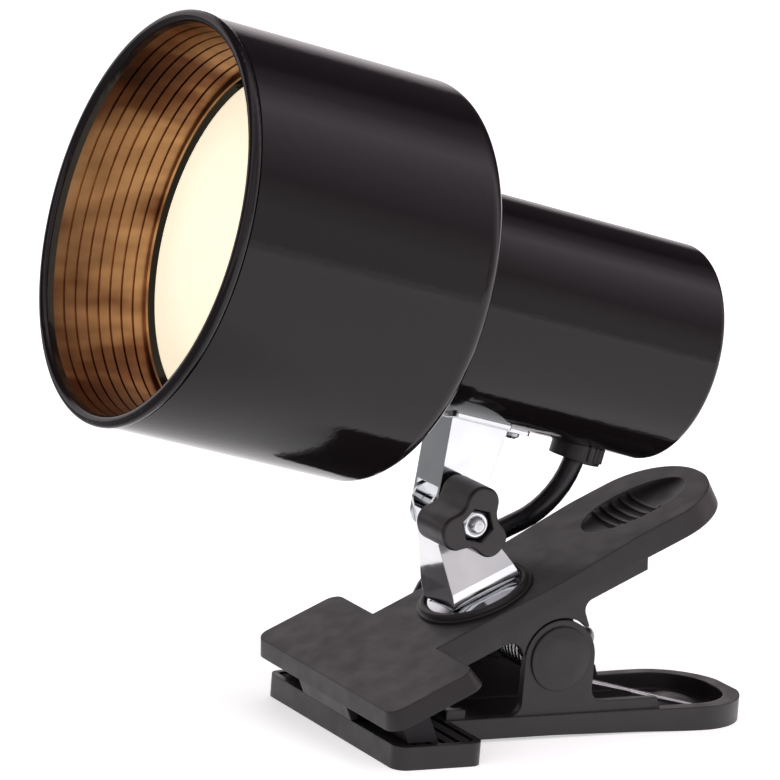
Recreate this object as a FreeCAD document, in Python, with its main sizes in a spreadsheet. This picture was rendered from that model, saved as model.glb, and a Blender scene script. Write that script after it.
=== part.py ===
import FreeCAD, Part
import math
import os

import Sketcher
from FreeCAD import Placement, Rotation, Vector

# Clip-on reading lamp. Every measure is in millimetres and degrees.
# The lamp stands on its clip: X runs across the clip, Y from the jaws to the handles, Z up.
# Four frames are used: the clip (level), the lever (tilted about the pivot), the lamp head
# (tilted about the tilt bolt) and the head's axis, with Z running back from the rim.

SIZES = {
    "Lower half of the clip": {
        "origin_shift": 23.7,
        "jaw_half_width": 40.4,
        "jaw_depth": 27.2,
        "jaw_height": 6.6,
        "jaw_corner": 4.0,
        "clip_wall": 2.0,
        "clip_floor": 2.0,
        "arm_lift": 1.0,
        "flange_height": 6.9,
        "arm_half_width": 19.7,
        "handle_half_width": 20.6,
        "handle_end": 128.8,
        "handle_corner": 19.5,
        "handle_wall": 3.9,
        "handle_end_wall": 5.2,
        "handle_inner_corner": 15.0,
        "wall_height": 10.0,
        "wall_end": 93.7,
        "ear_outside": 18.9,
        "ear_thickness": 2.4,
        "ear_radius": 11.1,
        "ear_fillet": 3.6,
        "step_height": 9.6,
        "bump_centre": 111.5,
        "bump_length": 8.0,
        "bump_width": 13.5,
        "bump_rise": 2.6,
        "bump_wall": 1.5,
    },
    "Pivot and spring": {
        "pivot_y": 60.92,
        "pivot_z": 22.86,
        "pin_radius": 2.0,
        "running_gap": 0.05,
        "moving_gap": 0.3,
        "cap_radius": 9.3,
        "cap_rim": 0.7,
        "cap_rise": 0.7,
        "wire_radius": 0.9,
        "coil_radius": 6.2,
        "coil_pitch": 2.0,
        "coil_turns": 7.0,
        "lower_leg_turn": -103.8,
        "lower_leg_length": 53.0,
        "upper_leg_turn": 107.6,
        "upper_leg_length": 38.0,
    },
    "Upper half of the clip": {
        "lever_angle": 24.45,
        "pivot_u": 61.34,
        "pivot_w": -21.01,
        "lever_jaw_half": 41.9,
        "lever_jaw_depth": 27.1,
        "lever_front_half": 18.8,
        "lever_rear_half": 20.0,
        "lever_end": 127.6,
        "lever_plate": 2.2,
        "skirt_depth": 5.2,
        "lever_corner": 19.4,
        "lever_inner_corner": 17.2,
        "skirt_draft": 18.0,
        "arm_draft": 6.0,
        "handle_rise": 1.7,
        "rise_start": 68.0,
        "rise_end": 95.0,
        "inner_skirt_depth": 9.3,
        "inner_skirt_end": 95.0,
        "cheek_outside": 18.9,
        "ear_gap": 0.6,
        "horn_front": 51.2,
        "horn_rear": 73.1,
        "horn_depth": 16.3,
        "inner_ear_outside": 16.1,
        "inner_ear_thickness": 2.3,
        "inner_ear_radius": 8.6,
        "lip_half_width": 14.7,
        "lip_thickness": 2.2,
        "lip_depth": 10.0,
        "recess_centre": 105.1,
        "recess_length": 17.0,
        "recess_width": 9.9,
        "recess_depth": 2.8,
        "rib_count": 5,
        "rib_offset": 2.4,
        "rib_pitch": 3.1,
        "rib_width": 0.9,
        "rib_stand": 0.9,
    },
    "Gripping pads": {
        "pad_half_width": 37.0,
        "pad_front": 3.6,
        "pad_depth": 8.5,
        "pad_gap": 0.4,
        "pad_height": 4.3,
        "groove_pitch": 4.4,
        "groove_width": 1.6,
        "groove_depth": 1.0,
    },
    "Swivel": {
        "swivel_u": 50.8,
        "seat_clearance": 0.4,
        "seat_foot_step": 1.1,
        "seat_foot": 0.8,
        "seat_floor": 0.9,
        "seat_height": 2.0,
        "seat_wall": 1.6,
        "disc_gap": 0.1,
        "disc_radius": 13.8,
        "disc_thickness": 1.2,
        "disc_flat": 10.6,
        "rivet_radius": 2.5,
        "rivet_bore": 1.5,
        "rivet_head": 4.2,
        "rivet_lip": 0.8,
        "rivet_washer_radius": 6.0,
        "rivet_washer_thickness": 1.0,
    },
    "Lower bracket": {
        "sheet_metal": 1.0,
        "foot_half": 9.5,
        "foot_front": 39.5,
        "foot_rear": 61.3,
        "foot_bend": 1.8,
        "splay_foot": 5.0,
        "splay_top": 21.5,
        "neck_half": 6.0,
        "bolt_u": 48.1,
        "bolt_w": 29.64,
        "web_top": 30.4,
        "web_top_front": 43.9,
        "waist_u": 59.2,
        "waist_w": 12.8,
        "lower_ear_rear": 5.8,
        "lower_ear_top": 5.5,
    },
    "Lamp head": {
        "rim_y": -68.4,
        "rim_z": 145.45,
        "head_angle": -13.54,
        "shade_radius": 56.4,
        "shade_length": 79.7,
        "shade_wall": 0.8,
        "shade_shoulder": 5.0,
        "rim_radius": 57.0,
        "bead_radius": 1.6,
        "ring_depth": 3.4,
        "ring_inside": 53.6,
        "baffle_front": 53.9,
        "baffle_rear": 50.2,
        "baffle_end": 30.2,
        "baffle_sheet": 0.6,
        "baffle_groove": 0.7,
        "baffle_lip": 48.6,
        "housing_radius": 31.15,
        "housing_wall": 0.8,
        "housing_end": 169.6,
        "housing_round": 2.1,
        "collar_inside": 23.0,
        "collar_sheet": 0.8,
    },
    "Lamp and lampholder": {
        "lamp_radius": 47.6,
        "lamp_front": 28.6,
        "lamp_rim": 31.2,
        "lamp_neck_radius": 15.5,
        "lamp_neck": 92.0,
        "glass_wall": 1.2,
        "base_start": 97.0,
        "base_radius": 13.0,
        "base_end": 118.0,
        "contact_end": 121.0,
        "contact_radius": 4.8,
        "shell_radius": 14.2,
        "shell_end": 119.5,
        "holder_radius": 19.0,
        "holder_start": 94.0,
        "holder_end": 131.0,
        "holder_floor": 124.0,
        "strap_sheet": 1.0,
    },
    "Upper bracket": {
        "upper_half": 7.2,
        "saddle_start": 104.7,
        "saddle_end": 123.9,
        "saddle_half": 9.5,
        "saddle_sheet": 1.1,
        "tab_end": 133.6,
        "tab_half": 4.6,
        "web_head_front": 105.3,
        "web_foot_front": 109.7,
        "web_foot": -51.4,
        "ear_foot": -64.2,
        "ear_rear": 119.6,
        "rear_waist": 122.6,
        "rear_waist_r": -48.1,
        "ear_round": 4.6,
        "bracket_screw_rear": 129.1,
        "bracket_screw_front": 113.0,
        "bracket_screw_length": 4.0,
        "drill_clearance": 5.0,
    },
    "Tilt bolt and knob": {
        "bolt_radius": 2.0,
        "bolt_head_radius": 3.1,
        "bolt_head_height": 1.3,
        "bolt_head_round": 0.9,
        "bolt_end": 25.4,
        "washer_radius": 4.4,
        "washer_thickness": 0.9,
        "knob_start": 9.2,
        "knob_end": 24.6,
        "knob_lobe": 4.5,
        "knob_reach": 10.9,
        "knob_waist": 6.1,
        "knob_chamfer": 0.8,
        "knob_turn": 78.0,
        "knob_boss": 5.0,
        "nut_flats": 7.0,
        "nut_height": 3.2,
        "nut_pocket": 1.8,
        "nut_recess": 0.9,
    },
    "Screws": {
        "screw_radius": 1.5,
        "screw_head_radius": 2.7,
        "screw_head_height": 1.7,
        "screw_slot": 0.7,
        "shade_screw_gap": 1.05,
        "shade_screw_length": 5.0,
        "socket_screw_length": 5.0,
        "strap_screw_circle": 10.0,
    },
    "Cord entry": {
        "gland_centre": 151.7,
        "gland_radius": 7.2,
        "gland_ribs": 20,
        "gland_rib_radius": 0.6,
        "gland_foot": 35.6,
        "gland_mouth": 33.0,
        "gland_split": 1.6,
        "gland_body_radius": 7.5,
        "gland_body_foot": 35.1,
        "gland_spigot_radius": 5.0,
        "cord_clearance": 0.4,
    },
    "Cord and plug": {
        "cord_radius": 3.0,
        "coil_mid_radius": 30.0,
        "coil_wide": 4,
        "coil_high": 1,
        "coil_x": -64.0,
        "coil_y": 69.0,
        "tie_turn": -60.0,
        "tie_thickness": 0.8,
        "tie_width": 4.0,
        "plug_length": 24.0,
        "plug_width": 19.0,
        "plug_height": 11.0,
        "blade_length": 16.0,
        "blade_width": 6.3,
        "blade_thickness": 1.5,
        "blade_pitch": 12.7,
    },
}

os.makedirs("parts", exist_ok=True)
document = FreeCAD.newDocument("ReadingLamp")
sheet = document.addObject("Spreadsheet::Sheet", "Sizes")


class Measure:
    """A number together with the spreadsheet expression that gives it."""

    def __init__(self, number, text):
        self.number = number
        self.text = text

    def __add__(self, other):
        other = measure(other)
        return Measure(self.number + other.number, f"({self.text} + {other.text})")

    def __radd__(self, other):
        return measure(other) + self

    def __sub__(self, other):
        other = measure(other)
        return Measure(self.number - other.number, f"({self.text} - {other.text})")

    def __rsub__(self, other):
        return measure(other) - self

    def __mul__(self, other):
        other = measure(other)
        return Measure(self.number * other.number, f"({self.text} * {other.text})")

    def __rmul__(self, other):
        return measure(other) * self

    def __truediv__(self, other):
        other = measure(other)
        return Measure(self.number / other.number, f"({self.text} / {other.text})")

    def __neg__(self):
        return Measure(-self.number, f"(0 - {self.text})")


def measure(item):
    """Any number as a measure."""
    return item if isinstance(item, Measure) else Measure(float(item), f"{float(item)}")


def root(item):
    return Measure(math.sqrt(item.number), f"sqrt({item.text})")


def tangent(angle):
    return Measure(math.tan(math.radians(angle.number)), f"tan({angle.text} * 1 deg)")


def cosine(angle):
    angle = measure(angle)
    return Measure(math.cos(math.radians(angle.number)), f"cos({angle.text} * 1 deg)")


def sine(angle):
    angle = measure(angle)
    return Measure(math.sin(math.radians(angle.number)), f"sin({angle.text} * 1 deg)")


class Sizes:
    """Writes the table of sizes to the sheet; each one is then read as an attribute."""

    def __init__(self, groups):
        row = 1
        for title, entries in groups.items():
            sheet.set(f"A{row}", title)
            row += 1
            for name, number in entries.items():
                sheet.set(f"A{row}", name)
                sheet.set(f"B{row}", str(number))
                sheet.setAlias(f"B{row}", name)
                setattr(self, name, Measure(float(number), f"Sizes.{name}"))
                row += 1


size = Sizes(SIZES)
document.recompute()


# ---- frames -------------------------------------------------------------------------------

clip_frame = Placement(Vector(0, -size.origin_shift.number, 0), Rotation())

pivot = Vector(0, size.pivot_y.number, size.pivot_z.number)
lever_turn = Rotation(Vector(1, 0, 0), size.lever_angle.number)
pivot_in_lever = Vector(0, size.pivot_u.number, size.pivot_w.number)
lever_frame = clip_frame * Placement(pivot - lever_turn.multVec(pivot_in_lever), lever_turn)

rim_centre = Vector(0, size.rim_y.number, size.rim_z.number)
head_turn = Rotation(Vector(1, 0, 0), size.head_angle.number)
head_frame = clip_frame * Placement(rim_centre, head_turn)

axis_back = Placement(Vector(), Rotation(Vector(1, 0, 0), -90))
axis_across = Placement(Vector(), Rotation(Vector(0, 1, 0), 90))
axis_down = Placement(Vector(), Rotation(Vector(1, 0, 0), 180))
head_axis = head_frame * axis_back

swivel_centre = Placement(Vector(0, size.swivel_u.number, 0), Rotation())
bolt_in_lever = Vector(0, size.bolt_u.number, size.bolt_w.number)
bolt_centre = lever_frame.multVec(bolt_in_lever)
bolt_in_head = head_frame.inverse().multVec(bolt_centre)
pivot_frame = Placement(clip_frame.multVec(pivot), Rotation())


# ---- building helpers ---------------------------------------------------------------------

nodes = []


def new_body(name):
    return document.addObject("PartDesign::Body", name)


def finish(item, name, frame):
    """Gives a sub-part its name and its place."""
    item.Label = name
    item.Placement = frame
    nodes.append(item)
    return item


def base_plane(body, role):
    for feature in body.Origin.OriginFeatures:
        if feature.Role == role:
            return feature
    raise ValueError(role)


def sketch_on(body, role, offset=0):
    """A sketch on one of the body's own planes, moved along the plane's normal."""
    offset = measure(offset)
    count = sum(1 for item in body.Group if item.TypeId == "Sketcher::SketchObject")
    sketch = document.addObject("Sketcher::SketchObject", f"{body.Name}_sketch_{count + 1}")
    body.addObject(sketch)
    sketch.AttachmentSupport = [(base_plane(body, role), "")]
    sketch.MapMode = "FlatFace"
    sketch.AttachmentOffset = Placement(Vector(0, 0, offset.number), Rotation())
    sketch.setExpression("AttachmentOffset.Base.z", offset.text)
    return sketch


def dimension(sketch, kind, target, name, value):
    """A driving dimension tied to the sheet."""
    index = sketch.addConstraint(Sketcher.Constraint(kind, *target, value.number))
    sketch.renameConstraint(index, name)
    sketch.setExpression(f"Constraints.{name}", value.text)


def locate(sketch, geometry, point, name, x, y):
    dimension(sketch, "DistanceX", (-1, 1, geometry, point), f"{name}x", measure(x))
    dimension(sketch, "DistanceY", (-1, 1, geometry, point), f"{name}y", measure(y))


def circle(sketch, x, y, radius):
    x, y, radius = measure(x), measure(y), measure(radius)
    index = sketch.addGeometry(
        Part.Circle(Vector(x.number, y.number, 0), Vector(0, 0, 1), radius.number))
    locate(sketch, index, 3, f"c{index}", x, y)
    dimension(sketch, "Radius", (index,), f"c{index}r", radius)


def rounded_ends(before, corner, after, radius):
    """Tangent points and centre of an arc that rounds a corner."""
    to_before = (before - corner).normalize()
    to_after = (after - corner).normalize()
    half = to_before.getAngle(to_after) / 2
    reach = radius / math.tan(half)
    middle = (to_before + to_after).normalize()
    centre = corner + middle * (radius / math.sin(half))
    return corner + to_before * reach, corner + to_after * reach, centre


def outline(sketch, corners):
    """A closed outline of straight edges; a third value in a corner rounds it."""
    spots = [[measure(value) for value in corner] for corner in corners]
    points = [Vector(spot[0].number, spot[1].number, 0) for spot in spots]
    count = len(points)
    starts = []
    ends = []
    arcs = []
    for index, spot in enumerate(spots):
        point = points[index]
        if len(spot) == 3:
            entry, leave, centre = rounded_ends(
                points[index - 1], point, points[(index + 1) % count], spot[2].number)
            arcs.append((entry, leave, centre))
        else:
            entry, leave = point, point
            arcs.append(None)
        ends.append(entry)
        starts.append(leave)
    lines = []
    for index in range(count):
        lines.append(sketch.addGeometry(
            Part.LineSegment(starts[index], ends[(index + 1) % count])))
    for index, spot in enumerate(spots):
        before = lines[index - 1]
        after = lines[index]
        name = f"p{after}"
        if arcs[index] is None:
            sketch.addConstraint(Sketcher.Constraint("Coincident", before, 2, after, 1))
            locate(sketch, after, 1, name, spot[0], spot[1])
            continue
        entry, leave, centre = arcs[index]
        first = math.atan2(entry.y - centre.y, entry.x - centre.x)
        last = math.atan2(leave.y - centre.y, leave.x - centre.x)
        turning_left = (entry - centre).cross(leave - centre).z > 0
        if not turning_left:
            first, last = last, first
        if last < first:
            last += 2 * math.pi
        round_edge = Part.Circle(centre, Vector(0, 0, 1), spot[2].number)
        arc = sketch.addGeometry(Part.ArcOfCircle(round_edge, first, last))
        entry_end, leave_end = (1, 2) if turning_left else (2, 1)
        sketch.addConstraint(Sketcher.Constraint("Tangent", before, 2, arc, entry_end))
        sketch.addConstraint(Sketcher.Constraint("Tangent", arc, leave_end, after, 1))
        dimension(sketch, "Radius", (arc,), f"{name}r", spot[2])
        corner = sketch.addGeometry(Part.Point(points[index]), True)
        sketch.addConstraint(Sketcher.Constraint("PointOnObject", corner, 1, before))
        sketch.addConstraint(Sketcher.Constraint("PointOnObject", corner, 1, after))
        locate(sketch, corner, 1, name, spot[0], spot[1])


def mirrored(corners):
    """Corners of the positive half going round, followed by their mirror images."""
    other = [(-measure(corner[0]), *corner[1:]) for corner in reversed(corners)]
    return list(corners) + other


def rectangle(x_low, x_high, y_low, y_high, *radius):
    return [(x_low, y_low, *radius), (x_high, y_low, *radius),
            (x_high, y_high, *radius), (x_low, y_high, *radius)]


def feature(body, kind, sketch, length=None, reverse=False, taper=None):
    """A pad or a pocket; with no length a pocket cuts right through."""
    item = body.newObject(f"PartDesign::{kind}", f"{sketch.Name}_{kind.lower()}")
    item.Profile = sketch
    item.Reversed = reverse
    if length is None:
        item.Type = "ThroughAll"
    else:
        item.setExpression("Length", measure(length).text)
    if taper is not None:
        item.setExpression("TaperAngle", taper.text)
    return item


def pad(body, sketch, length, reverse=False, taper=None):
    return feature(body, "Pad", sketch, length, reverse, taper)


def pocket(body, sketch, length=None, reverse=False):
    return feature(body, "Pocket", sketch, length, reverse)


def trim(body, role, corners, reach, offset=0, reverse=False):
    """Keeps only what lies inside the outline: a wide frame around it is cut away."""
    sketch = sketch_on(body, role, offset)
    outline(sketch, rectangle(-reach, reach, -reach, reach))
    outline(sketch, corners)
    pocket(body, sketch, None, reverse)


def turn(body, sketch, kind="Revolution", angle=None, axis="V_Axis"):
    item = body.newObject(f"PartDesign::{kind}", f"{sketch.Name}_{kind.lower()}")
    item.Profile = sketch
    item.ReferenceAxis = (sketch, [axis])
    if angle is None:
        item.Angle = 360
    else:
        item.setExpression("Angle", angle.text)
        item.Midplane = True
    return item


def turned_body(name, corners):
    """A round sub-part: the outline gives radius and height along its own Z axis."""
    body = new_body(name)
    sketch = sketch_on(body, "XZ_Plane")
    outline(sketch, corners)
    turn(body, sketch)
    return body


def join(name, kind, items):
    """A boolean of several shapes."""
    item = document.addObject(f"Part::{kind}", name)
    if kind == "Cut":
        item.Base, item.Tool = items
    else:
        item.Shapes = items
    return item


def cylinder(name, radius, height, place=None):
    item = document.addObject("Part::Cylinder", name)
    item.setExpression("Radius", measure(radius).text)
    item.setExpression("Height", measure(height).text)
    if place is not None:
        item.Placement = place
    return item


def ellipsoid(body, kind, reach_x, reach_y, reach_z, y, z):
    """An ellipsoid added to or cut from a body, centred on its middle plane."""
    item = body.newObject(f"PartDesign::{kind}Ellipsoid", f"{body.Name}_{kind.lower()}")
    item.setExpression("Radius1", measure(reach_z).text)
    item.setExpression("Radius2", measure(reach_x).text)
    item.setExpression("Radius3", measure(reach_y).text)
    item.AttachmentSupport = [(base_plane(body, "XY_Plane"), "")]
    item.MapMode = "FlatFace"
    y, z = measure(y), measure(z)
    item.AttachmentOffset = Placement(Vector(0, y.number, z.number), Rotation())
    item.setExpression("AttachmentOffset.Base.y", y.text)
    item.setExpression("AttachmentOffset.Base.z", z.text)
    return item


def across(body, corners, start, width, cut=False):
    """An outline in the side view, carried across the part from start over width."""
    sketch = sketch_on(body, "YZ_Plane", start)
    outline(sketch, corners)
    if cut:
        return pocket(body, sketch, width, True)
    return pad(body, sketch, width)


def both_sides(body, corners, inside, thickness):
    """The same upright plate on the left and on the right."""
    across(body, corners, inside, thickness)
    across(body, corners, -inside - thickness, thickness)


def cross_hole(body, y, z, radius, start, width):
    sketch = sketch_on(body, "YZ_Plane", start)
    circle(sketch, y, z, radius)
    return pocket(body, sketch, width, True)


def housing_cut(body, offset=0):
    """Shapes a piece to sit on the round underside of the rear housing."""
    sketch = sketch_on(body, "XZ_Plane", offset)
    circle(sketch, 0, 0, size.housing_radius)
    pocket(body, sketch)


def dome_screws(name, spots, length):
    """Slotted dome-head screws; each spot is the seat of a head, its Z along the shank."""
    solids = []
    for index, spot in enumerate(spots):
        shank = cylinder(f"{name}_shank_{index}", size.screw_radius, length, spot)
        rim_place = spot * Placement(Vector(0, 0, -size.screw_head_height.number / 2), Rotation())
        rim = cylinder(
            f"{name}_rim_{index}", size.screw_head_radius, size.screw_head_height / 2, rim_place)
        crown = document.addObject("Part::Cone", f"{name}_crown_{index}")
        crown.setExpression("Radius1", (size.screw_head_radius * 0.6).text)
        crown.setExpression("Radius2", size.screw_head_radius.text)
        crown.setExpression("Height", (size.screw_head_height / 2).text)
        crown.Placement = spot * Placement(
            Vector(0, 0, -size.screw_head_height.number), Rotation())
        solid = join(f"{name}_solid_{index}", "MultiFuse", [shank, rim, crown])
        slot = document.addObject("Part::Box", f"{name}_slot_{index}")
        slot.setExpression("Length", (size.screw_head_radius * 2).text)
        slot.setExpression("Width", size.screw_slot.text)
        slot.setExpression("Height", (size.screw_head_height * 0.45).text)
        slot.Placement = spot * Placement(
            Vector(-size.screw_head_radius.number, -size.screw_slot.number / 2,
                   -size.screw_head_height.number), Rotation())
        solids.append(join(f"{name}_{index}", "Cut", [solid, slot]))
    return join(f"{name}_set", "MultiFuse", solids) if len(solids) > 1 else solids[0]


# ---- lower half of the clip ---------------------------------------------------------------

ear_inside = size.ear_outside - size.ear_thickness
ear_front = size.pivot_y - size.ear_radius
ear_rear = size.pivot_y + size.ear_radius

clip = new_body("lower_clip")
across(clip, [
    (size.jaw_depth - 3, size.arm_lift * 0.5),
    (size.jaw_depth + 4, size.arm_lift, 8),
    (size.pivot_y, size.arm_lift, 60),
    (size.bump_centre - 4, 0, 60),
    (size.handle_end, 0, 3.2),
    (size.handle_end, size.flange_height, 0.7),
    (size.jaw_depth - 3, size.flange_height),
], -size.handle_half_width * 1.2, size.handle_half_width * 2.4)
trim(clip, "XY_Plane", mirrored([
    (size.arm_half_width, size.jaw_depth - 6),
    (size.arm_half_width, size.wall_end - 6),
    (size.handle_half_width, size.wall_end + 10),
    (size.handle_half_width, size.handle_end, size.handle_corner),
]), 200, 60)
jaw = sketch_on(clip, "XY_Plane")
outline(jaw, rectangle(-size.jaw_half_width, size.jaw_half_width, 0, size.jaw_depth,
                       size.jaw_corner))
pad(clip, jaw, size.jaw_height)
across(clip, rectangle(size.jaw_depth - 1, size.jaw_depth + 5, size.clip_floor,
                       size.step_height, 0.6),
       -size.arm_half_width + 1, size.arm_half_width * 2 - 2)
both_sides(clip, [
    (ear_front - 9, size.clip_floor),
    (size.wall_end + 1, size.clip_floor),
    (size.wall_end + 1, size.flange_height),
    (size.wall_end, size.wall_height),
    (ear_rear, size.wall_height, size.ear_fillet),
    (ear_rear, size.pivot_z),
    (ear_front, size.pivot_z),
    (ear_front, size.flange_height, size.ear_fillet),
    (ear_front - 9, size.flange_height),
], ear_inside, size.ear_thickness)
for start in (ear_inside, -size.ear_outside):
    ear = sketch_on(clip, "YZ_Plane", start)
    circle(ear, size.pivot_y, size.pivot_z, size.ear_radius)
    pad(clip, ear, size.ear_thickness)
channel = sketch_on(clip, "XY_Plane", size.clip_floor)
outline(channel, mirrored([
    (ear_inside, size.jaw_depth + size.clip_wall),
    (ear_inside, size.wall_end - 4),
    (size.handle_half_width - size.handle_wall, size.wall_end + 8),
    (size.handle_half_width - size.handle_wall, size.handle_end - size.handle_end_wall,
     size.handle_inner_corner),
]))
pocket(clip, channel, None, True)
tray = sketch_on(clip, "XY_Plane", size.clip_floor)
outline(tray, rectangle(-size.jaw_half_width + size.clip_wall,
                        size.jaw_half_width - size.clip_wall,
                        size.clip_wall, size.jaw_depth - size.clip_wall,
                        size.jaw_corner - size.clip_wall))
pocket(clip, tray, None, True)
ellipsoid(clip, "Additive", size.bump_width, size.bump_length,
          size.clip_floor + size.bump_rise, size.bump_centre, 0)
under = sketch_on(clip, "XY_Plane")
outline(under, rectangle(-60, 60, -10, 150))
pocket(clip, under)
ellipsoid(clip, "Subtractive", size.bump_width - size.bump_wall,
          size.bump_length - size.bump_wall,
          size.clip_floor + size.bump_rise - size.bump_wall, size.bump_centre, 0)
cross_hole(clip, size.pivot_y, size.pivot_z, size.pin_radius + size.running_gap,
           -size.ear_outside - 1, size.ear_outside * 2 + 2)
finish(clip, "lower_clip", clip_frame)

lower_pad = new_body("lower_pad")
pad_plan = sketch_on(lower_pad, "XY_Plane", size.clip_floor)
outline(pad_plan, rectangle(-size.pad_half_width, size.pad_half_width,
                            size.clip_wall + 1, size.jaw_depth - size.clip_wall - 1, 1.0))
pad(lower_pad, pad_plan, size.pad_height)
grooves = sketch_on(lower_pad, "XY_Plane", size.clip_floor + size.pad_height)
for step in range(4):
    groove_y = size.jaw_depth / 2 + size.groove_pitch * (step - 1.5)
    outline(grooves, rectangle(-size.pad_half_width - 1, size.pad_half_width + 1,
                               groove_y - size.groove_width / 2,
                               groove_y + size.groove_width / 2))
pocket(lower_pad, grooves, size.groove_depth)
finish(lower_pad, "lower_pad", clip_frame)

pin = cylinder("pivot_pin", size.pin_radius, size.ear_outside * 2)
pin_start = Placement(Vector(-size.ear_outside.number, 0, 0), Rotation())
finish(pin, "pivot_pin", pivot_frame * pin_start * axis_across)

caps = []
for side in (1, -1):
    cap = turned_body(f"cap_{'right' if side > 0 else 'left'}", [
        (0, 0),
        (size.cap_radius, 0),
        (size.cap_radius, size.cap_rim, 0.35),
        (size.cap_radius * 0.6, size.cap_rim + size.cap_rise, 14),
        (0, size.cap_rim + size.cap_rise),
    ])
    cap.Placement = Placement(
        Vector(side * size.ear_outside.number, 0, 0), Rotation(Vector(0, 1, 0), 90 * side))
    caps.append(cap)
finish(join("pivot_caps", "MultiFuse", caps), "pivot_caps", pivot_frame)


# ---- torsion spring -----------------------------------------------------------------------

coil_r = size.coil_radius.number
pitch = size.coil_pitch.number
lower_leg_angle = math.radians(size.lower_leg_turn.number)
upper_leg_angle = math.radians(size.upper_leg_turn.number + size.lever_angle.number)
sweep = lower_leg_angle - upper_leg_angle + 2 * math.pi
turns = size.coil_turns.number + sweep / (2 * math.pi)
height = pitch * turns
helix = Part.makeHelix(pitch, height, coil_r)
helix.rotate(Vector(), Vector(0, 0, 1), math.degrees(upper_leg_angle))
slope = pitch / (2 * math.pi * coil_r)


def spring_leg(angle, level, length, forward):
    start = Vector(coil_r * math.cos(angle), coil_r * math.sin(angle), level)
    heading = Vector(-math.sin(angle), math.cos(angle), slope) * forward
    return start, start + heading * length


upper_start, upper_tip = spring_leg(upper_leg_angle, 0, size.upper_leg_length.number, -1)
lower_start, lower_tip = spring_leg(lower_leg_angle, height, size.lower_leg_length.number, 1)
spring_path = Part.Wire([
    Part.LineSegment(upper_tip, upper_start).toShape(),
    *helix.Edges,
    Part.LineSegment(lower_start, lower_tip).toShape(),
])
wire_section = Part.Wire([Part.Circle(
    upper_tip, upper_start - upper_tip, size.wire_radius.number).toShape()])
spring = document.addObject("Part::Feature", "torsion_spring")
spring.Shape = spring_path.makePipeShell([wire_section], True, True)
spring_turn = Rotation(Vector(0, 1, 0), Vector(0, 0, 1), Vector(1, 0, 0), "XYZ")
finish(spring, "torsion_spring",
       pivot_frame * Placement(Vector(-height / 2, 0, 0), spring_turn))


# ---- upper half of the clip ---------------------------------------------------------------

rise_inset = size.handle_rise * tangent(size.skirt_draft)
lever = new_body("upper_lever")
jaw_plan = sketch_on(lever, "XY_Plane", size.handle_rise)
outline(jaw_plan, rectangle(-size.lever_jaw_half + rise_inset, size.lever_jaw_half - rise_inset,
                            rise_inset, size.lever_jaw_depth - rise_inset, 3.4))
pad(lever, jaw_plan, size.handle_rise + size.skirt_depth, True, size.skirt_draft)
arm_plan = sketch_on(lever, "XY_Plane", size.handle_rise)
outline(arm_plan, mirrored([
    (size.lever_front_half, size.lever_jaw_depth - 10),
    (size.lever_rear_half, size.lever_end - 24, 60),
    (size.lever_rear_half, size.lever_end, size.lever_corner),
]))
pad(lever, arm_plan, size.handle_rise + size.skirt_depth, True, size.arm_draft)
hollow = sketch_on(lever, "XY_Plane", -size.lever_plate)
outline(hollow, mirrored([
    (size.lever_jaw_half - size.clip_wall, size.clip_wall + 0.3, 2.2),
    (size.lever_jaw_half - size.clip_wall, size.lever_jaw_depth - size.clip_wall, 2.2),
    (ear_inside, size.lever_jaw_depth - size.clip_wall),
    (ear_inside, size.inner_skirt_end),
    (size.lever_rear_half - size.clip_wall, size.inner_skirt_end + 8),
    (size.lever_rear_half - size.clip_wall, size.lever_end - size.clip_wall,
     size.lever_inner_corner),
]))
pocket(lever, hollow)
across(lever, [
    (-10, 0),
    (size.rise_start, 0, 60),
    (size.rise_end, size.handle_rise, 60),
    (size.lever_end + 20, size.handle_rise),
    (size.lever_end + 20, 15),
    (-10, 15),
], -60, 120, True)
both_sides(lever, [
    (size.lever_jaw_depth - 1, -size.lever_plate + 0.5),
    (size.lever_jaw_depth - 1, -size.inner_skirt_depth),
    (size.horn_front, -size.inner_skirt_depth, 4.2),
    (size.horn_front, -size.horn_depth),
    (size.horn_rear - 0.3, -size.horn_depth),
    (size.horn_rear, -size.inner_skirt_depth, 3.2),
    (size.inner_skirt_end, -size.inner_skirt_depth),
    (size.inner_skirt_end + 1.5, -size.skirt_depth),
    (size.inner_skirt_end + 1.5, -size.lever_plate + 0.5),
], ear_inside, size.cheek_outside - ear_inside)
for start in (ear_inside - 0.2, -size.cheek_outside - 0.2):
    cross_hole(lever, size.pivot_u, size.pivot_w, size.ear_radius + size.ear_gap,
               start, size.cheek_outside - ear_inside + 0.4)
inner_ear_inside = size.inner_ear_outside - size.inner_ear_thickness
both_sides(lever, rectangle(size.pivot_u - size.inner_ear_radius,
                            size.pivot_u + size.inner_ear_radius,
                            size.pivot_w, -size.lever_plate + 0.5),
           inner_ear_inside, size.inner_ear_thickness)
for start in (inner_ear_inside, -size.inner_ear_outside):
    ear = sketch_on(lever, "YZ_Plane", start)
    circle(ear, size.pivot_u, size.pivot_w, size.inner_ear_radius)
    pad(lever, ear, size.inner_ear_thickness)
cross_hole(lever, size.pivot_u, size.pivot_w, size.pin_radius + size.running_gap,
           -size.inner_ear_outside - 0.5, size.inner_ear_outside * 2 + 1)
skirt_flare = size.skirt_depth * tangent(size.skirt_draft)
across(lever, [
    (0.2, -size.lever_plate + 0.5),
    (-skirt_flare, -size.skirt_depth),
    (-skirt_flare, -size.lip_depth + 0.4),
    (-skirt_flare + size.lip_thickness, -size.lip_depth),
    (size.lip_thickness + 0.4, -size.lever_plate + 0.5),
], -size.lip_half_width, size.lip_half_width * 2)
rivet_hole = sketch_on(lever, "XY_Plane", 10)
circle(rivet_hole, 0, size.swivel_u, size.rivet_radius + size.running_gap)
pocket(lever, rivet_hole)
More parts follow.
